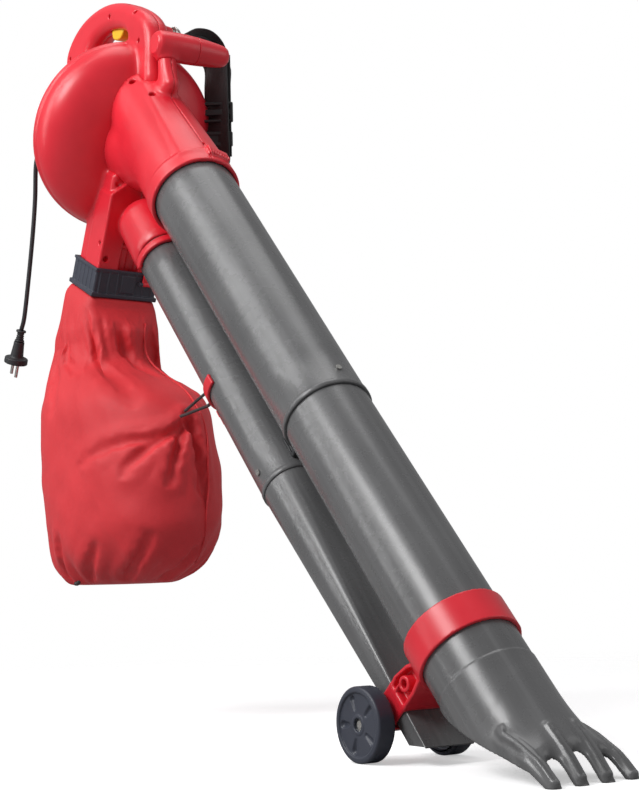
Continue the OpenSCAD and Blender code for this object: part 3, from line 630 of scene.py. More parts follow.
GRIP = (-500, 0, 918)
grip_prof = [(-20, 0), (-20, 13), (-19, 14.6), (-15.5, 17.8), (-12, 18.8), (0, 19.7), (14, 20.2), (30, 20.1),
             (41.4, 19.5), (41.9, 19.1)]
cap_prof = [(42.2, 19.1), (42.7, 19.5), (54, 18.7), (66, 17.6), (78, 16.2), (86, 14.9), (91, 12.6),
            (94, 8.6),
            (95, 4), (95.2, 0)]


def grip_body(prof, y0, y1, boss):
    outline = [(-5, y0)] + [(r, t) for t, r in prof] + [(-5, y1)]

    def f(x, y, z):
        d = poly2(np.hypot(x - GRIP[0], z - GRIP[2]), y, outline)
        if boss:
            rad, up = np.hypot(x - GRIP[0], y), z - GRIP[2]
            d = smin(d, rod(rad, up, -21.2, -4, 14, 14.5, 2), 6)
            d = smax(d, -rod(rad, up, 11, 40, 8, 8), 1)
            d = np.maximum(d, -rod(rad, up, -40, 40, 4.1, 4.1))
        return d
    return f


show("front_grip_body", grip_body(grip_prof, -20, 41.9, True), (-523, -23, 893), (-477, 45, 941), 1.1,
     "red_plastic", "grip", "front_grip")
show("front_grip_end", grip_body(cap_prof, 42.2, 95.2, False), (-522, 39, 895), (-478, 98, 941), 1.1,
     "red_plastic", "grip", "front_grip_cap")

# ---- trigger ----

TRIG = curve([(-656, 988), (-653, 978), (-642, 972), (-629, 971), (-619, 978), (-610, 986), (-597, 990),
              (-597, 1003),
              (-612, 1005), (-640, 1000), (-654, 997), (-656, 986)], 3)


def trigger(x, y, z):
    d = both(poly2(x, z, TRIG), np.abs(y) - 8, 2.6)
    for k in range(3):
        groove_x, groove_z = -643 + 7 * k, 965 + 0.8 * k
        d = smax(d, -seg(x, y, z, (groove_x, -12, groove_z), (groove_x, 12, groove_z), 0.8, 0.8), 0.5)
    return np.maximum(d, -rod(np.hypot(x + 603, z - 994), y, -20, 20, 2.06, 2.06))


show("trigger_shape", trigger, (-660, -10, 960), (-592, 10, 1010), 0.9, "yellow_plastic", "trigger",
     "trigger")

# ---- tubes ----

UP = np.array([-math.cos(TT), 0, math.sin(TT)])


def tube(name, q, s0, s1, r0, r1, wall, lip):
    def r(s):
        return r0 + (r1 - r0) * (s - s0) / (s1 - s0)

    outer = [(s0, r(s0) + lip - 0.6), (s0 + 0.5, r(s0) + lip), (s0 + 6.0, r(s0) + lip),
             (s0 + 6.8, r(s0) + lip - 0.5),
             (s0 + 8.5, r(s0 + 8) + 0.05)]
    steps = [s0 + 8.5 + (s1 - s0 - 9.5) * i / 9 for i in range(1, 10)]
    outer += [(s, r(s)) for s in steps]
    inner = [(s1, r(s1) - 0.8), (s1 - 0.6, r(s1) - wall), (s0 + 0.4, r(s0) - wall), (s0, r(s0) - wall + 0.4)]
    prof = outer + inner
    return lathe(name, prof + [prof[0]], tube_pt(q, 0), UP, 192)


for nm, *sizes in (("suction_tube", SUCTION_Q, SEAM_S, 791, 52.5, 55.6, 2.2, 1.3),
                   ("blow_tube", BLOW_Q, SEAM_S, 781, 34.6, 36.9, 2.2, 1.1)):
    dress(tube(nm + "_skin", *sizes), "grey_plastic", "machine", nm)


# ---- suction nozzle with its rake ----

TINES = (-46.5, -15.5, 15.5, 46.5)
RAKE_X = [140, 190, 240, 255, 273]
ROOF_MID = [138, 86, 40, 25, 2]
ROOF_SIDE = [92, 48, 28, 17, 1]


def roof(x, y):
    """Height of the rake's upper face: it leaves the tube, flattens, then turns down to the tips."""
    mid, side = np.interp(x, RAKE_X, ROOF_MID), np.interp(x, RAKE_X, ROOF_SIDE)
    return mid - (mid - side) * np.minimum((y / 46) ** 2, 1.25)


def nozzle(x, y, z):
    d, e, s = in_tube(x, y, z)
    rad = np.hypot(d - SUCTION_Q, e)
    body = rod(rad, s, -250, SEAM_S - 0.4, 51, 51)
    spigot = rod(rad, s, SEAM_S - 4, 364, 50.1, 49.9, 1.5)
    sleeve = rod(rad, s, -250, -58, 51.9, 51.9, 0.6)
    f = smin(np.minimum(body, spigot), sleeve, 0.8)
    f = smax(f, x - 241, 4)
    top = (z - roof(x, y)) * np.interp(x, [190, 205, 255, 265], [0.68, 0.82, 0.78, 0.62])
    plan = np.abs(y) - np.interp(x, [180, 200, 222, 240, 275], [44, 49.5, 53, 54.5, 53])
    for c in (-31, 0, 31):
        plan = smax(plan, -seg(x, y, 0 * z, (253, c, 0), (304, c, 0), 6.8, 10.8), 2.5)
    flare = smax(both(top, plan, 4.5), 186 - x, 6)
    flare = smax(flare, x - 274, 3)
    f = smin(f, flare, 7)
    for t in TINES:
        start = 200 if abs(t) > 40 else 230
        path = [(px, t * (0.95 if px < 204 else 1.0), float(roof(px, t)) + 0.3)
                for px in (start, start + 7, (start + 250) / 2, 250, 257, 264, 269)]
        rib = seg(x, y, z, path[0], path[1], 4.6, 4.6)
        cut = np.full(x.shape, 1e6, np.float32)
        for a, b in zip(path[:-1], path[1:]):
            rib = np.minimum(rib, seg(x, y, z, a, b, 4.6, 4.6))
            lift = np.array([1.6, 0, 4.7])
            first = lift * (1.8 if a is path[0] else 1.0)
            cut = np.minimum(cut, seg(x, y, z, a + first, b + lift, 2.5, 2.5))
        f = smin(f, rib, 3.0)
        f = smax(f, -cut, 1.3)
    f = shell_of(f, 4.2)
    f = np.maximum(f, -rod(rad, s, -60, 400, 46.7, 46.7))
    under = np.interp(x, [100, 190, 245, 275], [55, 26, 12, -7])
    inner = np.where((np.abs(y) < 47.5) & (x > 228), roof(x, y) - 8.5, -50)
    f = smax(f, (np.maximum(under, inner) - z) * 0.9, 0.8)
    line = rod(rad, s, -57.6, -57.0, 60, 60)
    f = np.maximum(f, -np.maximum(line, 51.55 - rad))
    return np.maximum(f, 0.2 - z)


show("suction_nozzle_skin", nozzle, (-170, -59, -1), (278, 59, 420), 1.6, "grey_plastic", "machine",
     "suction_nozzle")


# ---- blow nozzle: round at the seam, a flat slot at the end ----

def rounded(w, h, r, n):
    """Points round a rounded rectangle, starting at +across, by equal angle of a circle mapped to corners."""
    out = []
    per = n // 4
    for quad, (sx, sy) in enumerate(((1, 1), (-1, 1), (-1, -1), (1, -1))):
        for i in range(per):
            t = 1 - i / per if quad % 2 else i / per
            corner = 0.34
            if t < corner:
                px, py = w, (h - r) * t / corner
            elif t > 1 - corner:
                px, py = (w - r) * (1 - t) / corner, h
            else:
                g = (t - corner) / (1 - 2 * corner) * math.pi / 2
                px, py = w - r + r * math.cos(g), h - r + r * math.sin(g)
            out.append((sx * px, sy * py))
    return out


def blow_nozzle():
    n = 160
    rows = [(s, float(np.interp(s, [-80, -40, 0, 300, SEAM_S - 4], [1, 1, 0.96, 0.06, 0])))
            for s in np.linspace(SEAM_S - 0.3, -80, 44)]
    verts = []
    rect = rounded(10, 31, 1.2, n)
    circ = []
    for i in range(n):
        quad, k = divmod(i, n // 4)
        t = k / (n // 4)
        ang = (quad + t) * math.pi / 2
        circ.append((34.0 * math.cos(ang), 34.0 * math.sin(ang)))
    for s, mixv in rows:
        q = BLOW_Q + (29 - BLOW_Q) * mixv
        for (cx, cy), (rx, ry) in zip(circ, rect):
            verts.append(tube_pt(q + cx + (rx - cx) * mixv, s, cy + (ry - cy) * mixv))
    faces = [(a, d, c, b) for a, b, c, d in ring_faces(len(rows), n)]
    return build("blow_nozzle_skin", np.array(verts) * MM, np.array(faces))


def level_end(bm):
    bmesh.ops.bisect_plane(bm, geom=bm.verts[:] + bm.edges[:] + bm.faces[:], plane_co=(0, 0, 0.019),
                           plane_no=(0, 0, 1), clear_inner=True)


o = blow_nozzle()
rework(o, level_end)
sol = o.modifiers.new("wall", "SOLIDIFY")
sol.thickness, sol.offset = 0.002, -1
split = o.modifiers.new("split", "EDGE_SPLIT")
split.split_angle = math.radians(32)
dress(o, "grey_plastic", "machine", "blow_nozzle")


# ---- wheel bracket ----

def bracket(x, y, z):
    d, e, s = in_tube(x, y, z)
    rad = np.hypot(d - SUCTION_Q, e)
    ring = both(rod(rad, s, -22.5, 13.5, 55.2, 55.2), 51.15 - rad, 0.5)
    side = np.abs(y)
    wrap = rbox(d, e, s, (26.5, 0, 0), (18.2, 34.6, 17), 2.4)
    wrap = smax(wrap, -rbox(d, e, s, (26.8, 0, 0), (14.6, 31.9, 40), 1.5), 0.5)
    web = both(poly2(d, s, [(38, -17), (38, 15), (52, 17), (74, 12), (90, 4), (92, -12), (64, -17)]),
               side - 34.6, 1.5)
    web = smax(web, 51.15 - rad, 0.4)
    hollow = both(poly2(d, s, [(43, -13), (43, 11), (54, 13), (74, 8), (82, 2), (78, -10), (62, -13)]),
                  26 - side, 1.0)
    web = smax(web, -hollow, 0.8)
    boss = rod(np.hypot(d - 61, s + 1), side, 20, 36.4, 8.6, 8.2, 0.8)
    web = smin(web, boss, 0.8)
    rib = rbox(d, side, s, (50, 30, 5), (11, 5, 1.3), 0.6)
    web = smin(web, rib, 1)
    f = smin(ring, web, 2.5)
    f = smin(f, wrap, 2)
    barrel = rod(np.hypot(x, z - AXLE_H), y, -41.4, 41.4, 9, 9, 0.8)
    neck = rbox(d, e, s, (7, 0, 0), (8, 30, 9), 1.5)
    f = smin(f, smin(barrel, neck, 2), 2)
    f = smax(f, -rod(np.hypot(d - 61, s + 1), side, 8, 60, 4.6, 4.6), 0.6)
    f = np.maximum(f, -rod(rad, s, -90, 90, 51.12, 51.12))
    f = np.maximum(f, -rod(rad, s, -70, -57, 52.1, 52.1))
    return np.maximum(f, -rod(np.hypot(x, z - AXLE_H), y, -80, 80, 4.06, 4.06))


show("wheel_bracket_skin", bracket, (-16, -58, 24), (152, 58, 174), 1.15, "red_plastic", "machine",
     "wheel_bracket")


# ---- wheels ----

def wheel(side):
    def f(x, y, z):
        u, v, w = x, z - AXLE_H, side * y - 42
        rad = np.hypot(u, v)
        d = rod(rad, w, 0, 20, 38, 38, 2.6)
        d = smax(d, -rod(rad, w, 18.4, 30, 31.5, 32.2, 0.3), 1.2)
        d = smin(d, rod(rad, w, 6, 19.2, 10.6, 10.0, 1.2), 1.4)
        d = smin(d, both(np.abs(rad - 33.2) - 0.9, w - 20.0, 0.5), 1.2)
        d = smax(d, -rod(rad, w, 13.8, 40, 6.6, 7.2, 0.4), 0.8)
        for k in range(5):
            t = math.radians(72 * k + 38)
            p, q = (math.cos(t) * 16.5, math.sin(t) * 16.5), (math.cos(t) * 26.5, math.sin(t) * 26.5)
            d = smax(d, -seg(u, v, w, (p[0], p[1], 19.4), (q[0], q[1], 19.4), 2.6, 4.0), 1.0)
        d = smax(d, -rod(rad, w, -10, 3, 32, 32, 1), 1)
        d = smin(d, rod(rad, w, 0, 8, 9, 9, 0.5), 1)
        return np.maximum(d, -rod(rad, w, -20, 60, 4.06, 4.06))
    return f


for side, nm in ((-1, "right"), (1, "left")):
    lo, hi = ((-40, -64, -2), (40, -40, 78)) if side < 0 else ((-40, 40, -2), (40, 64, 78))
    show("wheel_tyre_" + nm, wheel(side), lo, hi, 0.85, "blue_plastic", "wheel_" + nm, "wheel_" + nm)


# ---- bag collar ----

def collar(x, y, z):
    a, b, c = in_fan(x, y, z)
    block = rbox(a, b, c, (194, 0, 59), (20, 48.9, 39.4), 3.5)
    rim = rbox(a, b, c, (211.5, 0, 59), (3.2, 51.2, 41.7), 1.6)
    lip = rbox(a, b, c, (176, 0, 59), (2.2, 49.9, 40.4), 1.4)
    f = smin(smin(block, rim, 1.2), lip, 1)
    for k in (-3, -2, -1, 0, 1, 2, 3):
        f = smin(f, rbox(a, b, c, (193, k * 13.6, 99.0), (15, 0.8, 0.9), 0.5), 0.8)
    for k in (-2, -1, 0, 1, 2):
        for fb in (-1, 1):
            f = smin(f, rbox(a, b * fb, c, (193, 49.4, 59 + k * 13.0), (15, 0.9, 0.8), 0.5), 0.8)
    panel = rbox(a, b, c, (193, 2, 99.2), (13, 10, 0.9), 0.6)
    f = smin(f, panel, 0.6)
    for yy in (21.6, 40.6):
        f = smin(f, seg(a, b, c, (190, yy - 1, 101.4), (190, yy + 1, 101.4), 3.2, 3.2), 1)
    f = smax(f, -rbox(a, b, c, (180, 0, 59), (23.2, 44.75, 35.25), 1), 0.4)
    f = smax(f, -rbox(a, b, c, (215, 0, 59), (16, 40.5, 31), 4), 0.5)
    return np.maximum(f, -seg(a, b, c, (190, 18, 101.4), (190, 48, 101.4), 1.53, 1.53))


show("bag_collar_skin", collar, (-750, -54, 575), (-595, 54, 690), 1.2, "blue_plastic", "bag", "bag_collar")


def latch(x, y, z):
    a, b, c = in_fan(x, y, z)
    f = rbox(a, b, c, (178, 31.1, 101.2), (12.5, 7.8, 1.7), 1.2)
    f = smin(f, seg(a, b, c, (190, 25.5, 101.4), (190, 36.7, 101.4), 2.9, 2.9), 1)
    for k in range(3):
        f = smin(f, rbox(a, b, c, (169 + 3 * k, 31.1, 103.1), (0.7, 6, 0.8), 0.4), 0.5)
    return np.maximum(f, -seg(a, b, c, (190, 10, 101.4), (190, 60, 101.4), 1.56, 1.56))


show("bag_latch_skin", latch, (-650, 20, 585), (-600, 42, 640), 0.7, "red_plastic", "latch", "bag_latch")


# ---- bag hook and tube clip ----

def hook(x, y, z):
    """Half ring on the blow tube with an arm that turns down at its end."""
    d, e, s = in_tube(x, y, z)
    rad = np.hypot(d - BLOW_Q, e)
    f = both(rod(rad, s, 503, 519, 39.4, 39.4, 1), 35.7 - rad, 0.8)
    f = smax(f, d - BLOW_Q - 7, 0.8)
    f = smin(f, rbox(d, e, s, (-24, 0, 511), (8, 5, 6), 1.5), 2)
    tip = rbox(d, e, s, (-28.5, 0, 503), (2.6, 5, 13), 1.2)
    return smin(f, tip, 1.5)


show("bag_hook_skin", hook, (-398, -43, 366), (-285, 43, 480), 1.0, "red_plastic", "machine", "bag_hook")


def clip(x, y, z):
    d, e, s = in_tube(x, y, z)
    f = rbox(d, e, s, (62, 0, 356), (14, 9, 17), 2)
    f = smax(f, -rbox(d, np.abs(e), s, (62, 9.5, 356), (7, 3.2, 11), 1), 0.6)
    f = np.maximum(f, 53.1 + 0.2 - np.hypot(d - SUCTION_Q, e))
    return np.maximum(f, 35.3 - np.hypot(d - BLOW_Q, e))


show("tube_clip_skin", clip, (-232, -12, 300), (-172, 12, 372), 0.9, "black_plastic", "machine", "tube_clip")


# ---- collection bag ----

# height, middle, half length and half width where the bag changes shape: neck, shoulder, belly and foot
BAG = [(590, -690, 80, 65), (500, -715, 95, 80), (470, -675, 140, 95), (440, -650, 165, 110),
       (340, -630, 175, 115),
       (265, -620, 170, 110), (220, -630, 145, 95), (200, -640, 110, 75), (190, -640, 50, 35)]
BAG_TOP, BAG_FOOT = BAG[0][0], BAG[-1][0]
BAG_POWER, MOUTH_POWER = 2.35, 7
MOUTH_LONG, MOUTH_WIDE = 38.5, 47.5
JOIN_ROW = 9
BAG_LOWEST = 187.5
CLOTH_FRAMES = 16
HOOK = np.array([-392.0, 0.0, 411.0])


def bag_size(z):
    """Middle, half length and half width of the bag at height z."""
    rows = np.array(BAG[::-1], float)
    return [np.interp(z, rows[:, 0], rows[:, i]) for i in (1, 2, 3)]


def on_bag(turn, z):
    """Points of the plain bag at height z, at these angles from its front."""
    middle, a, b = bag_size(z)
    ca, sa = np.cos(turn), np.sin(turn)
    r = (np.abs(ca) ** BAG_POWER + np.abs(sa) ** BAG_POWER) ** (-1 / BAG_POWER)
    return np.stack([middle + a * r * ca, b * r * sa, z + 0 * r], -1)


def bag_surface(rows, n):
    ang = np.linspace(0, 2 * math.pi, n, endpoint=False)
    grid = []
    knee = BAG_TOP - (BAG_TOP - BAG_FOOT) * 0.9
    for t in np.linspace(0, 1, rows):
        if t > 0.9:
            z = knee - (knee - BAG_FOOT) * math.sin((t - 0.9) / 0.1 * math.pi / 2)
        else:
            z = BAG_TOP - (BAG_TOP - BAG_FOOT) * t ** 0.96
        grid.append(on_bag(ang, max(BAG_FOOT, z)))
    grid = np.array(grid)
    # smooth down the rows, then join to the tilted rectangular mouth
    for _ in range(14):
        grid[1:-1] = 0.25 * grid[:-2] + 0.5 * grid[1:-1] + 0.25 * grid[2:]
    mouth = []
    for t in ang:
        ca, sa = math.cos(t), math.sin(t)
        k = (abs(ca) ** MOUTH_POWER + abs(sa) ** MOUTH_POWER) ** (-1 / MOUTH_POWER)
        mouth.append((ca * k * MOUTH_LONG, sa * k * MOUTH_WIDE))

    def ring_at(depth, grow):
        return np.array([fan_pt(depth, p[1] * (1 + grow / 47), 59 + p[0] * (1 + grow / 38)) for p in mouth])
    top = [ring_at(214.9, -2.0), ring_at(215.5, 2.6), ring_at(218, 4.6), ring_at(222, 6.2), ring_at(228, 9)]
    joins = [top[-1] * (1 - w) + grid[JOIN_ROW] * w for w in (0.15, 0.32, 0.5, 0.68, 0.84)]
    return np.concatenate([np.array(top), np.array(joins), grid[JOIN_ROW:]])


def smooth_noise(p, seed, scale):
    rng = np.random.default_rng(seed)
    out = np.zeros(len(p))
    for _ in range(6):
        k = rng.normal(size=3)
        k *= 2 * math.pi / (scale * np.linalg.norm(k)) * rng.uniform(0.7, 1.5)
        out += np.sin(p @ k + rng.uniform(0, 6.28))
    return out / 6


def crease(depth, width, start, end, bow=0.0):
    """A crease between two places on the bag, each a turn from the front in degrees and a height."""
    u = np.linspace(0, 1, 6)
    turn = np.radians(start[0] + (end[0] - start[0]) * u)
    height = start[1] + (end[1] - start[1]) * u + bow * np.sin(math.pi * u)
    return depth, width, [on_bag(t, z) for t, z in zip(turn, height)]


# a fan drawn by the hook, slack under the mouth, gathers above the foot, long soft hollows
CREASES = [crease(15 - 3 * k, 9, (6 - 7 * k, 405 - 8 * k), (16 - 30 * k, 290 + 18 * k),
                  10) for k in range(4)]
CREASES += [crease(10 - 2 * k, 9, (-15 - 40 * k, 565), (10 - 35 * k, 475), -8) for k in range(3)]
CREASES += [crease(8, 9, (-150 + 38 * k, 200), (-138 + 38 * k, 248 + 14 * (k % 2))) for k in range(6)]
CREASES += [crease(6, 13, (-100 + 65 * k, 545), (-95 + 65 * k, 420)) for k in range(4)]


def folds(p):
    """How far each point of the bag is pushed out and drawn to the hook, in millimetres."""
    d = np.zeros(len(p))
    x, y, z = p.T

    def valley(a, b, depth, width, start, share):
        a, b = np.array(a, float), np.array(b, float)
        ab = b - a
        t = np.clip(((p - a) @ ab) / (ab @ ab), 0, 1)
        dist = np.linalg.norm(p - a - t[:, None] * ab, axis=1)
        fall = np.exp(-(dist / width) ** 2)
        depth = depth * np.cos(math.pi / 2 * (start + share * t)) ** 0.7
        return depth * (0.4 * np.exp(-((dist - 2.0 * width) / width) ** 2) - fall)

    for depth, width, path in CREASES:
        m = len(path) - 1
        for i, (a, b) in enumerate(zip(path[:-1], path[1:])):
            part = valley(a, b, depth, width, i / m, 1 / m)
            d = np.where(np.abs(part) > np.abs(d), part, d)
    ang = np.arctan2(y, x + 630)
    low = np.clip((270 - z) / 70, 0, 1)
    d += low * 3.0 * np.sin(9 * ang + 2.2 * np.sin(3 * ang)) * np.clip((z - 186) / 25, 0.2, 1)
    high = np.clip((z - 480) / 100, 0, 1)
    d += high * 1.0 * np.sin(11 * ang + 1.7 * np.sin(2 * ang + 1)) * np.clip((612 - z) / 30, 0, 1)
    d += 2.6 * smooth_noise(p, 3, 120) + 1.3 * smooth_noise(p, 8, 52)
    near = np.exp(-(np.linalg.norm(p - HOOK, axis=1) / 78) ** 2)
    pull = near * 58
    return d, pull


def normals_of(o):
    n = np.zeros(len(o.data.vertices) * 3)
    o.data.vertices.foreach_get("normal", n)
    return n.reshape(-1, 3)


def points_of(o):
    c = np.zeros(len(o.data.vertices) * 3)
    o.data.vertices.foreach_get("co", c)
    return c.reshape(-1, 3)


def put_points(o, p):
    o.data.vertices.foreach_set("co", np.asarray(p, np.float32).ravel())
    o.data.update()


def make_bag():
    rows, n = 92, 168
    grid = bag_surface(rows, n)
    rows = len(grid)
    verts = grid.reshape(-1, 3)
    base = build("collection_bag_cloth", verts * MM, [q[::-1] for q in ring_faces(rows, n)])

    def close_foot(bm):
        bm.verts.ensure_lookup_table()
        last = [bm.verts[(rows - 1) * n + k] for k in range(n)]
        centre = bm.verts.new(Vector((-0.640, 0, 0.1895)))
        for k in range(n):
            bm.faces.new((last[k], last[(k + 1) % n], centre))

    rework(base, close_foot)
    base.data.polygons.foreach_set("use_smooth", np.ones(len(base.data.polygons), bool))
    p = points_of(base) / MM
    nrm = normals_of(base)
    d, pull = folds(p)
    free = np.clip((np.arange(len(p)) // n - 3) / 11, 0, 1)
    free[-1] = 1
    toward = HOOK - p
    toward /= np.linalg.norm(toward, axis=1, keepdims=True)
    p = p + (d * free)[:, None] * nrm + (pull * free)[:, None] * toward * np.array([1, 0.5, 0.6])
    p[:, 2] = np.maximum(p[:, 2], BAG_LOWEST)
    put_points(base, p * MM)
    relax(base, p, free)
    return base


def relax(o, start, free):
    """Lets the fabric buckle and sag a little as cloth, held at the mouth and the hook."""
    near = np.exp(-(np.linalg.norm(start - HOOK, axis=1) / 30) ** 2)
    held = np.flatnonzero((free < 0.15) | (near > 0.5))
    o.vertex_groups.new(name="held").add(held.tolist(), 1.0, "REPLACE")
    cloth = o.modifiers.new("cloth", "CLOTH")
    st = cloth.settings
    st.quality = 6
    st.mass = 0.35
    st.tension_stiffness, st.compression_stiffness, st.shear_stiffness = 22, 22, 8
    st.bending_stiffness = 0.35
    st.vertex_group_mass = "held"
    st.use_pressure = True
    st.uniform_pressure_force = 1.6
    st.shrink_min = -0.035
    st.effector_weights.gravity = 0.35
    cloth.collision_settings.use_self_collision = False
    cloth.point_cache.frame_start, cloth.point_cache.frame_end = 1, CLOTH_FRAMES
    scene = bpy.context.scene
    for frame_no in range(1, CLOTH_FRAMES + 1):
        scene.frame_set(frame_no)
    dg = bpy.context.evaluated_depsgraph_get()
    moved = np.zeros(len(start) * 3)
    o.evaluated_get(dg).data.vertices.foreach_get("co", moved)
    moved = moved.reshape(-1, 3) / MM
    o.modifiers.remove(cloth)
    scene.frame_set(1)
    shift = moved - start
    size = np.linalg.norm(shift, axis=1, keepdims=True)
    shift *= np.minimum(1, 13.0 / np.maximum(size, 1e-9))
    p = start + shift * free[:, None]
    p[:, 2] = np.maximum(p[:, 2], BAG_LOWEST)
    put_points(o, p * MM)


bag = make_bag()
sub = bag.modifiers.new("soft", "SUBSURF")
sub.levels = sub.render_levels = 1
dress(bag, "bag_fabric", "bag", "collection_bag")


def surface_path(o, guide, lift=0.6):
    """Points of o nearest to each guide point, raised a little along the surface."""
    p = points_of(o) / MM
    nrm = normals_of(o)
    out = []
    for g in guide:
        d = np.linalg.norm(p - np.array(g), axis=1)
        near = np.argsort(d)[:6]
        w = 1 / (d[near] + 1.0)
        w /= w.sum()
        out.append((p[near] * w[:, None]).sum(0) + lift * (nrm[near] * w[:, None]).sum(0))
    out = np.array(out)
    for _ in range(4):
        out[1:-1] = 0.25 * out[:-2] + 0.5 * out[1:-1] + 0.25 * out[2:]
    return out


def cord(name, pts, r, sides=10, smooth_n=5):
    path = np.array(curve(pts, smooth_n)) if smooth_n > 1 else np.array(pts)
    tang = np.gradient(path, axis=0)
    tang /= np.linalg.norm(tang, axis=1, keepdims=True)
    up = np.cross(tang[0], [0.31, 0.57, 0.76])
    verts = []
    ang = np.linspace(0, 2 * math.pi, sides, endpoint=False)
    for q, t in zip(path, tang):
        up = up - (up @ t) * t
        up /= np.linalg.norm(up)
        side = np.cross(t, up)
        verts += [q + r * (math.cos(a) * up + math.sin(a) * side) for a in ang]
    o = build(name, np.array(verts) * MM, np.array(ring_faces(len(path), sides)))

    def cap_ends(bm):
        bmesh.ops.holes_fill(bm, edges=[e for e in bm.edges if e.is_boundary], sides=sides + 1)

    rework(o, cap_ends)
    return o


# the seams that join the two side panels, down the front and down the back
for end, nm in ((1, "front"), (-1, "back")):
    guide = []
    for z in np.linspace(212, 560, 50):
        cx, a, _ = bag_size(z)
        guide.append((cx + end * a, 34 if end > 0 else -8, z))
    pipe = cord("bag_piping_" + nm, surface_path(bag, guide, 1.2), 1.5, 8, 1)
    dress(pipe, "bag_fabric", "bag")

# the loop that hangs on the hook, sewn to the fabric at both ends
sewn = surface_path(bag, [(-440, -6, 412), (-440, 6, 424)], -2.0)
loop = [tuple(sewn[0])]
for i in range(15):
    t = math.pi * (i / 14 - 0.5)
    loop.append((-404 + 30 * math.cos(t), 4.5 * math.sin(2 * t), 417 + 9 * math.sin(t)))
loop.append(tuple(sewn[1]))
dress(cord("bag_hanging_loop", loop, 2.0, 10, 2), "webbing", "bag")
dress(cord("bag_toggle", [(-662, -58, 199), (-665, -61, 190), (-669, -63, 189.5)], 3.0, 10, 3),
      "black_plastic", "bag")

# ---- mains cord, guard and plug ----

CORD = [CORD_EXIT - 3 * CORD_DIR, CORD_EXIT + 24 * CORD_DIR, CORD_EXIT + [-16, -27, -20],
        CORD_EXIT + [-28, -28, -38],
        (-779, -76, 760), (-790, -75, 710), (-806, -75, 645), (-822, -75, 590), (-834, -75, 571)]
dress(cord("power_cord_flex", CORD, 3.3, 16, 8), "black_rubber", "machine", "power_cord")
PLUG_A, PLUG_B = np.array(CORD[-1], float), np.array([-857.0, -75, 523])
PLUG_D = (PLUG_B - PLUG_A) / np.linalg.norm(PLUG_B - PLUG_A)


def plug(x, y, z):
    u = (x - PLUG_A[0]) * PLUG_D[0] + (z - PLUG_A[2]) * PLUG_D[2]
    v = (x - PLUG_A[0]) * PLUG_D[2] - (z - PLUG_A[2]) * PLUG_D[0]
    w = y + 75
    r = np.hypot(v, w)
    f = smin(rod(r, u, 1, 22, 5.0, 6.4, 1.2), rod(r, u, 16, 50, 7.2, 10.6, 3), 3)
    f = smin(f, rod(r, u, 44, 53, 17.3, 17.5, 1.6), 4)
    f = smin(f, rod(r, u, 1, 4, 7.4, 7.4, 1), 1)
    for k in range(4):
        f = smax(f, -np.maximum(np.abs(u - 8 - 3.4 * k) - 0.7, 4.4 - r), 0.4)
    return f


show("plug_moulding", plug, (-884, -96, 505), (-822, -54, 580), 0.8, "black_rubber", "machine", "plug_body")
GUARD = [(-3, 3.5), (-3, 6), (0, 6.4), (3, 6.4), (3.6, 5.5), (6, 5.5), (6.6, 6.1), (9, 6.1), (9.6, 5.2),
         (12, 5.2), (12.6, 5.8), (15, 5.7), (15.6, 4.9), (21, 4.6), (22, 3.6)]
guard = lathe("cord_guard_sleeve", GUARD, CORD_EXIT, CORD_DIR, 40)
dress(guard, "black_rubber", "machine", "cord_guard")


# ---- shoulder strap ----

def ribbon(name, path, widths, across, thick=1.6):
    path = np.array(curve(path, 5))
    m = len(path)
    first, last = np.array(across, float)
    across = np.array([first * (1 - t) + last * t for t in np.linspace(0, 1, m)])
    across /= np.linalg.norm(across, axis=1, keepdims=True)
    width = np.interp(np.linspace(0, 1, m), np.linspace(0, 1, len(widths)), widths)
    cols = np.linspace(-0.5, 0.5, 9)
    verts = [(q + a * w * c) for q, a, w in zip(path, across, width) for c in cols]
    k = len(cols)
    faces = np.array([(i * k + j, i * k + j + 1, (i + 1) * k + j + 1, (i + 1) * k + j)
                      for i in range(m - 1) for j in range(k - 1)])
    o = build(name, np.array(verts) * MM, faces)
    sol = o.modifiers.new("thick", "SOLIDIFY")
    sol.thickness, sol.offset = thick * MM, 0
    bev = o.modifiers.new("edge", "BEVEL")
    bev.width, bev.segments = 0.0004, 1
    return o


STRAP_TURN = math.radians(-34)
ACROSS = (-math.sin(STRAP_TURN), math.cos(STRAP_TURN), 0)
OUTV = (math.cos(STRAP_TURN), math.sin(STRAP_TURN), 0)
foot = np.array([-576.0, 122.0, 0.0])


def hang(out, z):
    return foot + np.array(OUTV) * out + np.array([0, 0, z])


outer = [(-545, 50, 958), (-550, 64, 967), (-558, 86, 971), (-566, 106, 966), hang(8, 950), hang(8, 915),
         hang(7, 870), hang(9, 820), hang(7, 796), hang(2, 788), hang(-4, 795), hang(-3, 840), hang(-4, 900),
         hang(-5, 935), (-574, 102, 952), (-562, 84, 959), (-552, 66, 960), (-546, 52, 955)]
o = ribbon("shoulder_strap_webbing", outer,
           [26, 34, 40, 40, 40, 40, 40, 40, 38, 36, 38, 40, 40, 40, 38, 34, 26],
           ((1, 0.1, 0), ACROSS), 2.0)
dress(o, "webbing", "strap", "shoulder_strap")
edge = cord("strap_edge_cord", [hang(9.5, z) + 19 * np.array(ACROSS) for z in (948, 915, 870, 820, 796)],
            1.4, 8, 4)
dress(edge, "webbing", "strap")


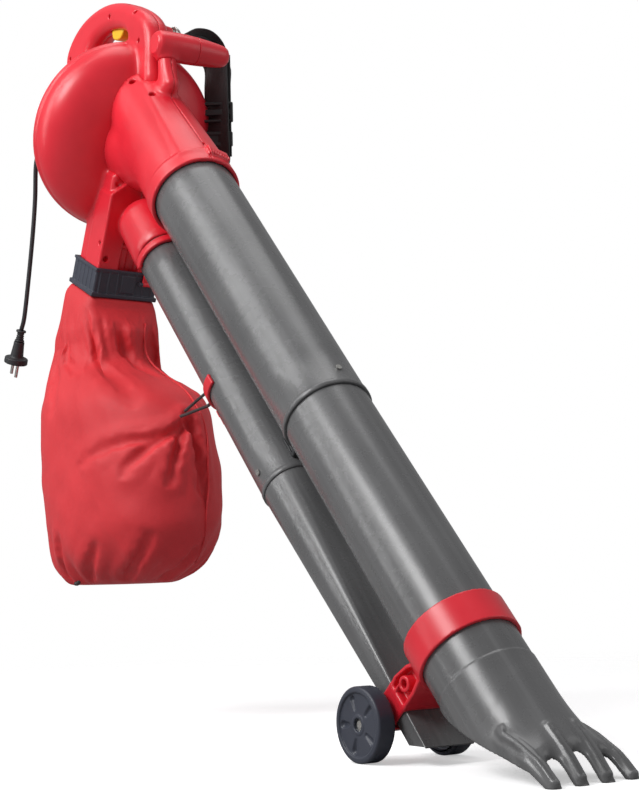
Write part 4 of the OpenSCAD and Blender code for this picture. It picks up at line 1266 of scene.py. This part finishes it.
def buckle(x, y, z):
    u = (x - foot[0]) * OUTV[0] + (y - foot[1]) * OUTV[1]
    v = (x - foot[0]) * ACROSS[0] + (y - foot[1]) * ACROSS[1]
    f = rbox(u, v, z, (10.2, 0, 862), (2.6, 23, 15), 1.8)
    for c in (854, 869):
        f = smax(f, -rbox(u, v, z, (11, 0, c), (6, 18.5, 3.4), 1.2), 0.6)
    g = rbox(u, v, z, (9.6, 0, 822), (3.2, 22, 11), 2.2)
    g = smax(g, -rbox(u, v, z, (12.6, 0, 822), (2, 14, 6), 1), 0.8)
    return np.minimum(f, g)


show("strap_buckles", buckle, (-610, 86, 800), (-542, 152, 884), 1.0, "black_plastic", "strap",
      "strap_adjuster")

# ---- CAD pieces shown as they are: finishes and softened edges ----

slots = {s["node"]: s["material_slot"] for s in frame["record"]["subparts"]}
for name, o in frame["nodes"].items():
    if o.hide_render:
        continue
    o.data.materials.clear()
    o.data.materials.append(M[slots[name]])
    for poly in o.data.polygons:
        poly.use_smooth = True
    es = o.modifiers.new("split", "EDGE_SPLIT")
    es.split_angle = math.radians(34)

# ---- floor, light, camera ----

floor = build("floor", np.array([(-9, -9, 0), (9, -9, 0), (9, 9, 0), (-9, 9, 0)]),
              np.array([(0, 1, 2, 3)]), False)


def paper(nt, b, base, rough):
    """Pale seamless paper that fades out towards the horizon."""
    v = coords(nt)
    n = noise(nt, v, 3, 2)
    seen = new(nt, "ShaderNodeLightPath").outputs["Is Camera Ray"]
    white = mix(nt, n, base, tone_of(base, 1.02))
    link(nt, mix(nt, seen, (0.34, 0.34, 0.34), white), b.inputs["Base Color"])
    dist = new(nt, "ShaderNodeVectorMath", operation="LENGTH")
    link(nt, v, dist.inputs[0])
    link(nt, remap(nt, dist.outputs["Value"], 0.7, 2.4, 1.0, 0.0), b.inputs["Alpha"])
    b.inputs["Emission Color"].default_value = (1, 1, 1, 1)
    link(nt, remap(nt, seen, 0, 1, 0.0, 0.42), b.inputs["Emission Strength"])


floor.data.materials.append(material("floor_m", (0.93, 0.93, 0.935), 0.8, paper))
floor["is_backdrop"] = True

world = bpy.data.worlds.new("studio")
bpy.context.scene.world = world
world.use_nodes = True
wn = world.node_tree
bg = wn.nodes["Background"]
path = new(wn, "ShaderNodeLightPath")
sky = mix(wn, path.outputs["Is Camera Ray"], (0.33, 0.331, 0.335), (1.0, 1.0, 1.0))
link(wn, sky, bg.inputs["Color"])
bg.inputs["Strength"].default_value = 1.0


def area(name, place, target, size, power, size_y=None, tint=(1, 1, 1)):
    lamp = bpy.data.lights.new(name, "AREA")
    lamp.energy, lamp.size, lamp.color = power, size, tint
    if size_y:
        lamp.shape, lamp.size_y = "RECTANGLE", size_y
    o = bpy.data.objects.new(name, lamp)
    o.location = place
    o.rotation_mode = "QUATERNION"
    o.rotation_quaternion = (Vector(target) - Vector(place)).to_track_quat("-Z", "Y")
    bpy.context.scene.collection.objects.link(o)
    return o


MID = np.array([-0.25, 0.0, 0.5])


def beside(name, direction, dist, width, height, power):
    d = np.array(direction, float) / np.linalg.norm(direction)
    return area(name, tuple(MID + dist * d), tuple(MID), width, power, height)


beside("strip_a", (-0.47, -0.76, 0.45), 2.4, 0.10, 2.4, 13)
beside("strip_b", (-0.33, -0.73, 0.58), 2.4, 0.05, 2.2, 6)
beside("strip_c", (-0.16, -0.66, 0.72), 2.4, 0.07, 2.2, 7)
beside("key", (0.12, -1.0, 0.72), 2.8, 0.9, 1.2, 46)
beside("fill", (0.9, 0.9, 0.5), 3.0, 1.6, 1.6, 9)
beside("top", (-0.1, 0.1, 1.0), 2.6, 1.6, 1.6, 17)

cam = bpy.data.cameras.new("camera")
cam.lens, cam.sensor_width = 66.438, 36.0
co = bpy.data.objects.new("camera", cam)
bpy.context.scene.collection.objects.link(co)
right = Vector((0.5518, 0.8336, -0.0253))
upv = Vector((0.1203, -0.0496, 0.9915))
toward = Vector((0.8253, -0.5501, -0.1277))
rot = Matrix((right, upv, toward)).transposed().to_quaternion()
co.rotation_mode = "QUATERNION"
co.rotation_quaternion = rot
co.location = (1.2295, -0.9162, 0.1720)
cam.clip_start, cam.clip_end = 0.02, 60
bpy.context.scene.camera = co
bpy.context.scene.view_settings.view_transform = "Standard"
bpy.context.scene.view_settings.look = "None"

lo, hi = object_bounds()
{"cad": [list(cad_box[0]), list(cad_box[1])], "visual": [list(lo), list(hi)]}
